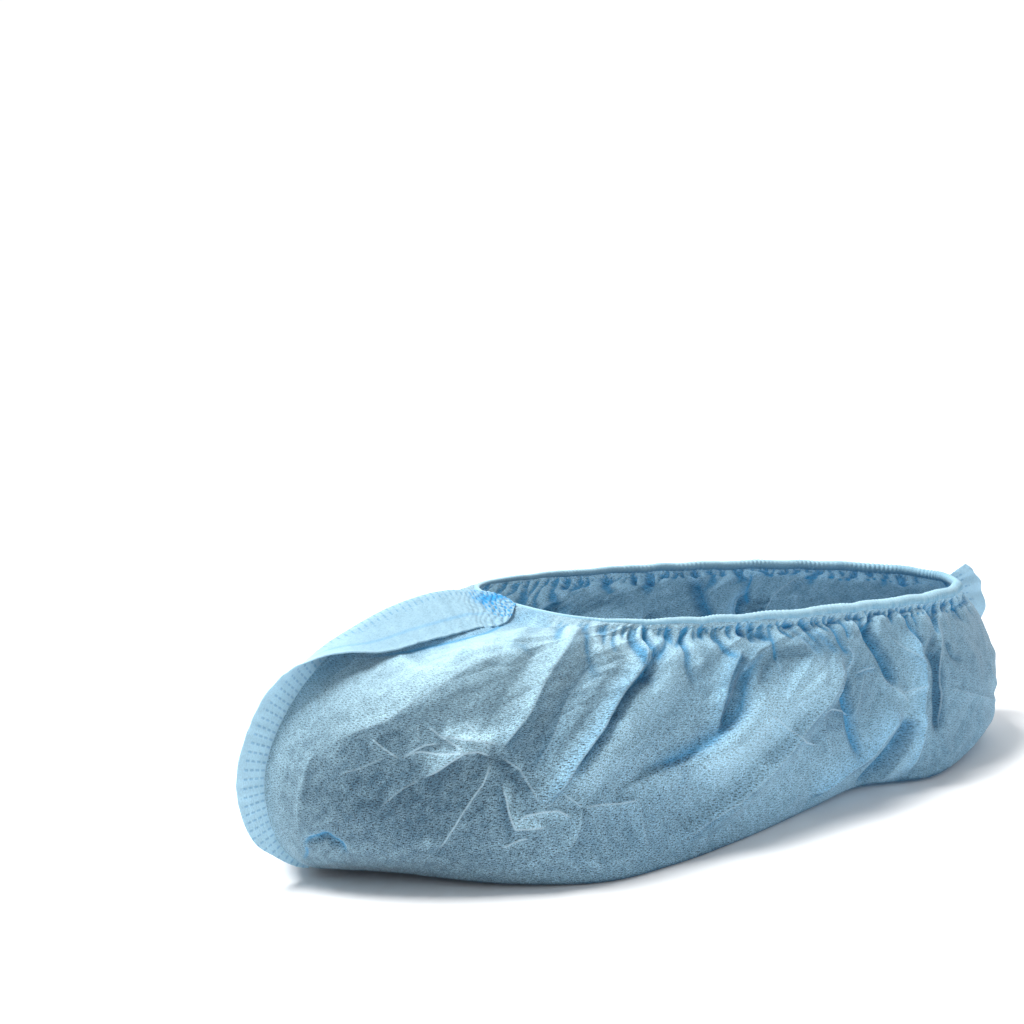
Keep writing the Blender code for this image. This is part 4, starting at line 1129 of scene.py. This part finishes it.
def nonwoven(name, tight_shaded, loose_lit, deep, grain_share, dot_share, translucence, creased):
    """Spunbond cloth. tight_shaded is its colour where pressed and where shade is painted, loose_lit
    where lifted and where light is painted, and deep in folds and painted blue shade.
    """
    material, tree, output = new_tree(name)
    uv = add(tree, "UVMap", uv_map="cloth").outputs["UV"]
    tone, blue_shade_and_welds, calm = [
        add(tree, "Attribute", attribute_name=key).outputs["Fac"] for key in ("tone", "blue_shade_and_welds", "calm")
    ]
    bond = bonded_points(tree, uv)
    fibres = noise(tree, uv, GRAIN, Roughness=0.65, Distortion=0.4)
    clouds = noise(tree, uv, CLOUD, Roughness=0.6)
    cloudy = add(tree, "Math", {0: clouds, 2: tone}, {1: 0.5}, operation="MULTIPLY_ADD").outputs[0]
    cloudy = add(tree, "Math", {0: cloudy}, {1: 0.25}, operation="SUBTRACT", use_clamp=True).outputs[0]
    ends = {6: linear(tight_shaded), 7: linear(loose_lit)}
    color = add(tree, "Mix", {0: cloudy}, ends, data_type="RGBA").outputs[2]
    color = mixed(tree, blue_shade_and_welds, color, deep)
    # The grain and the points are weaker where the cloth is calm or loose
    ends = {"From Min": 0.30, "From Max": 0.70, "To Min": -grain_share, "To Max": grain_share}
    grain = add(tree, "MapRange", {"Value": fibres}, ends).outputs["Result"]
    speckle = add(tree, "Math", {0: bond, 2: grain}, {1: -dot_share}, operation="MULTIPLY_ADD").outputs[0]
    calm = add(tree, "Math", {0: calm, 2: cloudy}, {1: 1.2}, operation="MULTIPLY_ADD").outputs[0]
    ends = {"From Max": 2.0, "To Min": 1.05, "To Max": 0.4}
    weak = add(tree, "MapRange", {"Value": calm}, ends).outputs["Result"]
    factor = add(tree, "Math", {0: speckle, 1: weak}, {2: 1.0}, operation="MULTIPLY_ADD").outputs[0]
    color = add(tree, "VectorMath", {0: color, "Scale": factor}, operation="SCALE").outputs["Vector"]
    height = add(tree, "Math", {0: bond, 2: fibres}, {1: -0.8}, operation="MULTIPLY_ADD").outputs[0]
    links = {"Height": height}
    if creased:
        links["Normal"] = packet_tilt(tree, uv)
        # Painted crease lines: deep blue shade in grooves, then pale highlights on crests
        color = mixed(tree, drawn_lines(tree, -1, DEEP_SOFT), color, deep)
        color = mixed(tree, drawn_lines(tree, 1, PALE_SOFT), color, CREST_HIGHLIGHT_COLOR)
    bump = add(tree, "Bump", links, {"Strength": BUMP_STRENGTH, "Distance": BUMP_DEPTH}).outputs["Normal"]
    shader = add(
        tree,
        "BsdfPrincipled",
        {"Base Color": color, "Normal": bump},
        {
            "Roughness": PLASTIC_ROUGHNESS,
            "IOR": PLASTIC_IOR,
            "Specular IOR Level": SPECULAR,
            "Sheen Weight": SHEEN,
        },
    ).outputs["BSDF"]
    through = add(tree, "BsdfTranslucent", {"Color": color, "Normal": bump}).outputs["BSDF"]
    mix = add(tree, "MixShader", {1: shader, 2: through}, {0: translucence}).outputs["Shader"]
    tree.links.new(mix, output.inputs["Surface"])
    return material


# Colours tight and shaded, loose and lit, and deep blue in folds and painted shade, shares of grain,
# points and light through, creases drawn
single = nonwoven("spunbond_single", "#4B6C81", "#BDE5F7", "#3C9BD0", 0.76, 0.80, 0.18, True)
doubled = nonwoven("spunbond_doubled", "#8CB3C8", "#BFE7FA", "#1E96D8", 0.10, 0.08, 0.12, False)
rolled = nonwoven("spunbond_rolled", "#7FB0CA", "#B2D8E9", "#4FA6D2", 0.18, 0.08, 0.10, False)
for piece, finish in ((cover, single), (toe_fin, doubled), (heel_fin, doubled), (hem, rolled)):
    piece.data.materials.append(finish)
print("three finishes of one cloth")

# %% [markdown]
# Each piece stands for one solid of the frame and rides on its one body. Such covers are cut
# from a sheet 0.32 by 0.40 m, folded under the sole, with rounded corners at the toe and the
# heel.

# %% Finish
for piece, node, slot in (
    (cover, "cover_body", "nonwoven_single"),
    (toe_fin, "toe_seam", "nonwoven_doubled"),
    (heel_fin, "heel_seam", "nonwoven_doubled"),
    (hem, "elastic_hem", "nonwoven_rolled"),
):
    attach(piece, "root")
    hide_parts(node)
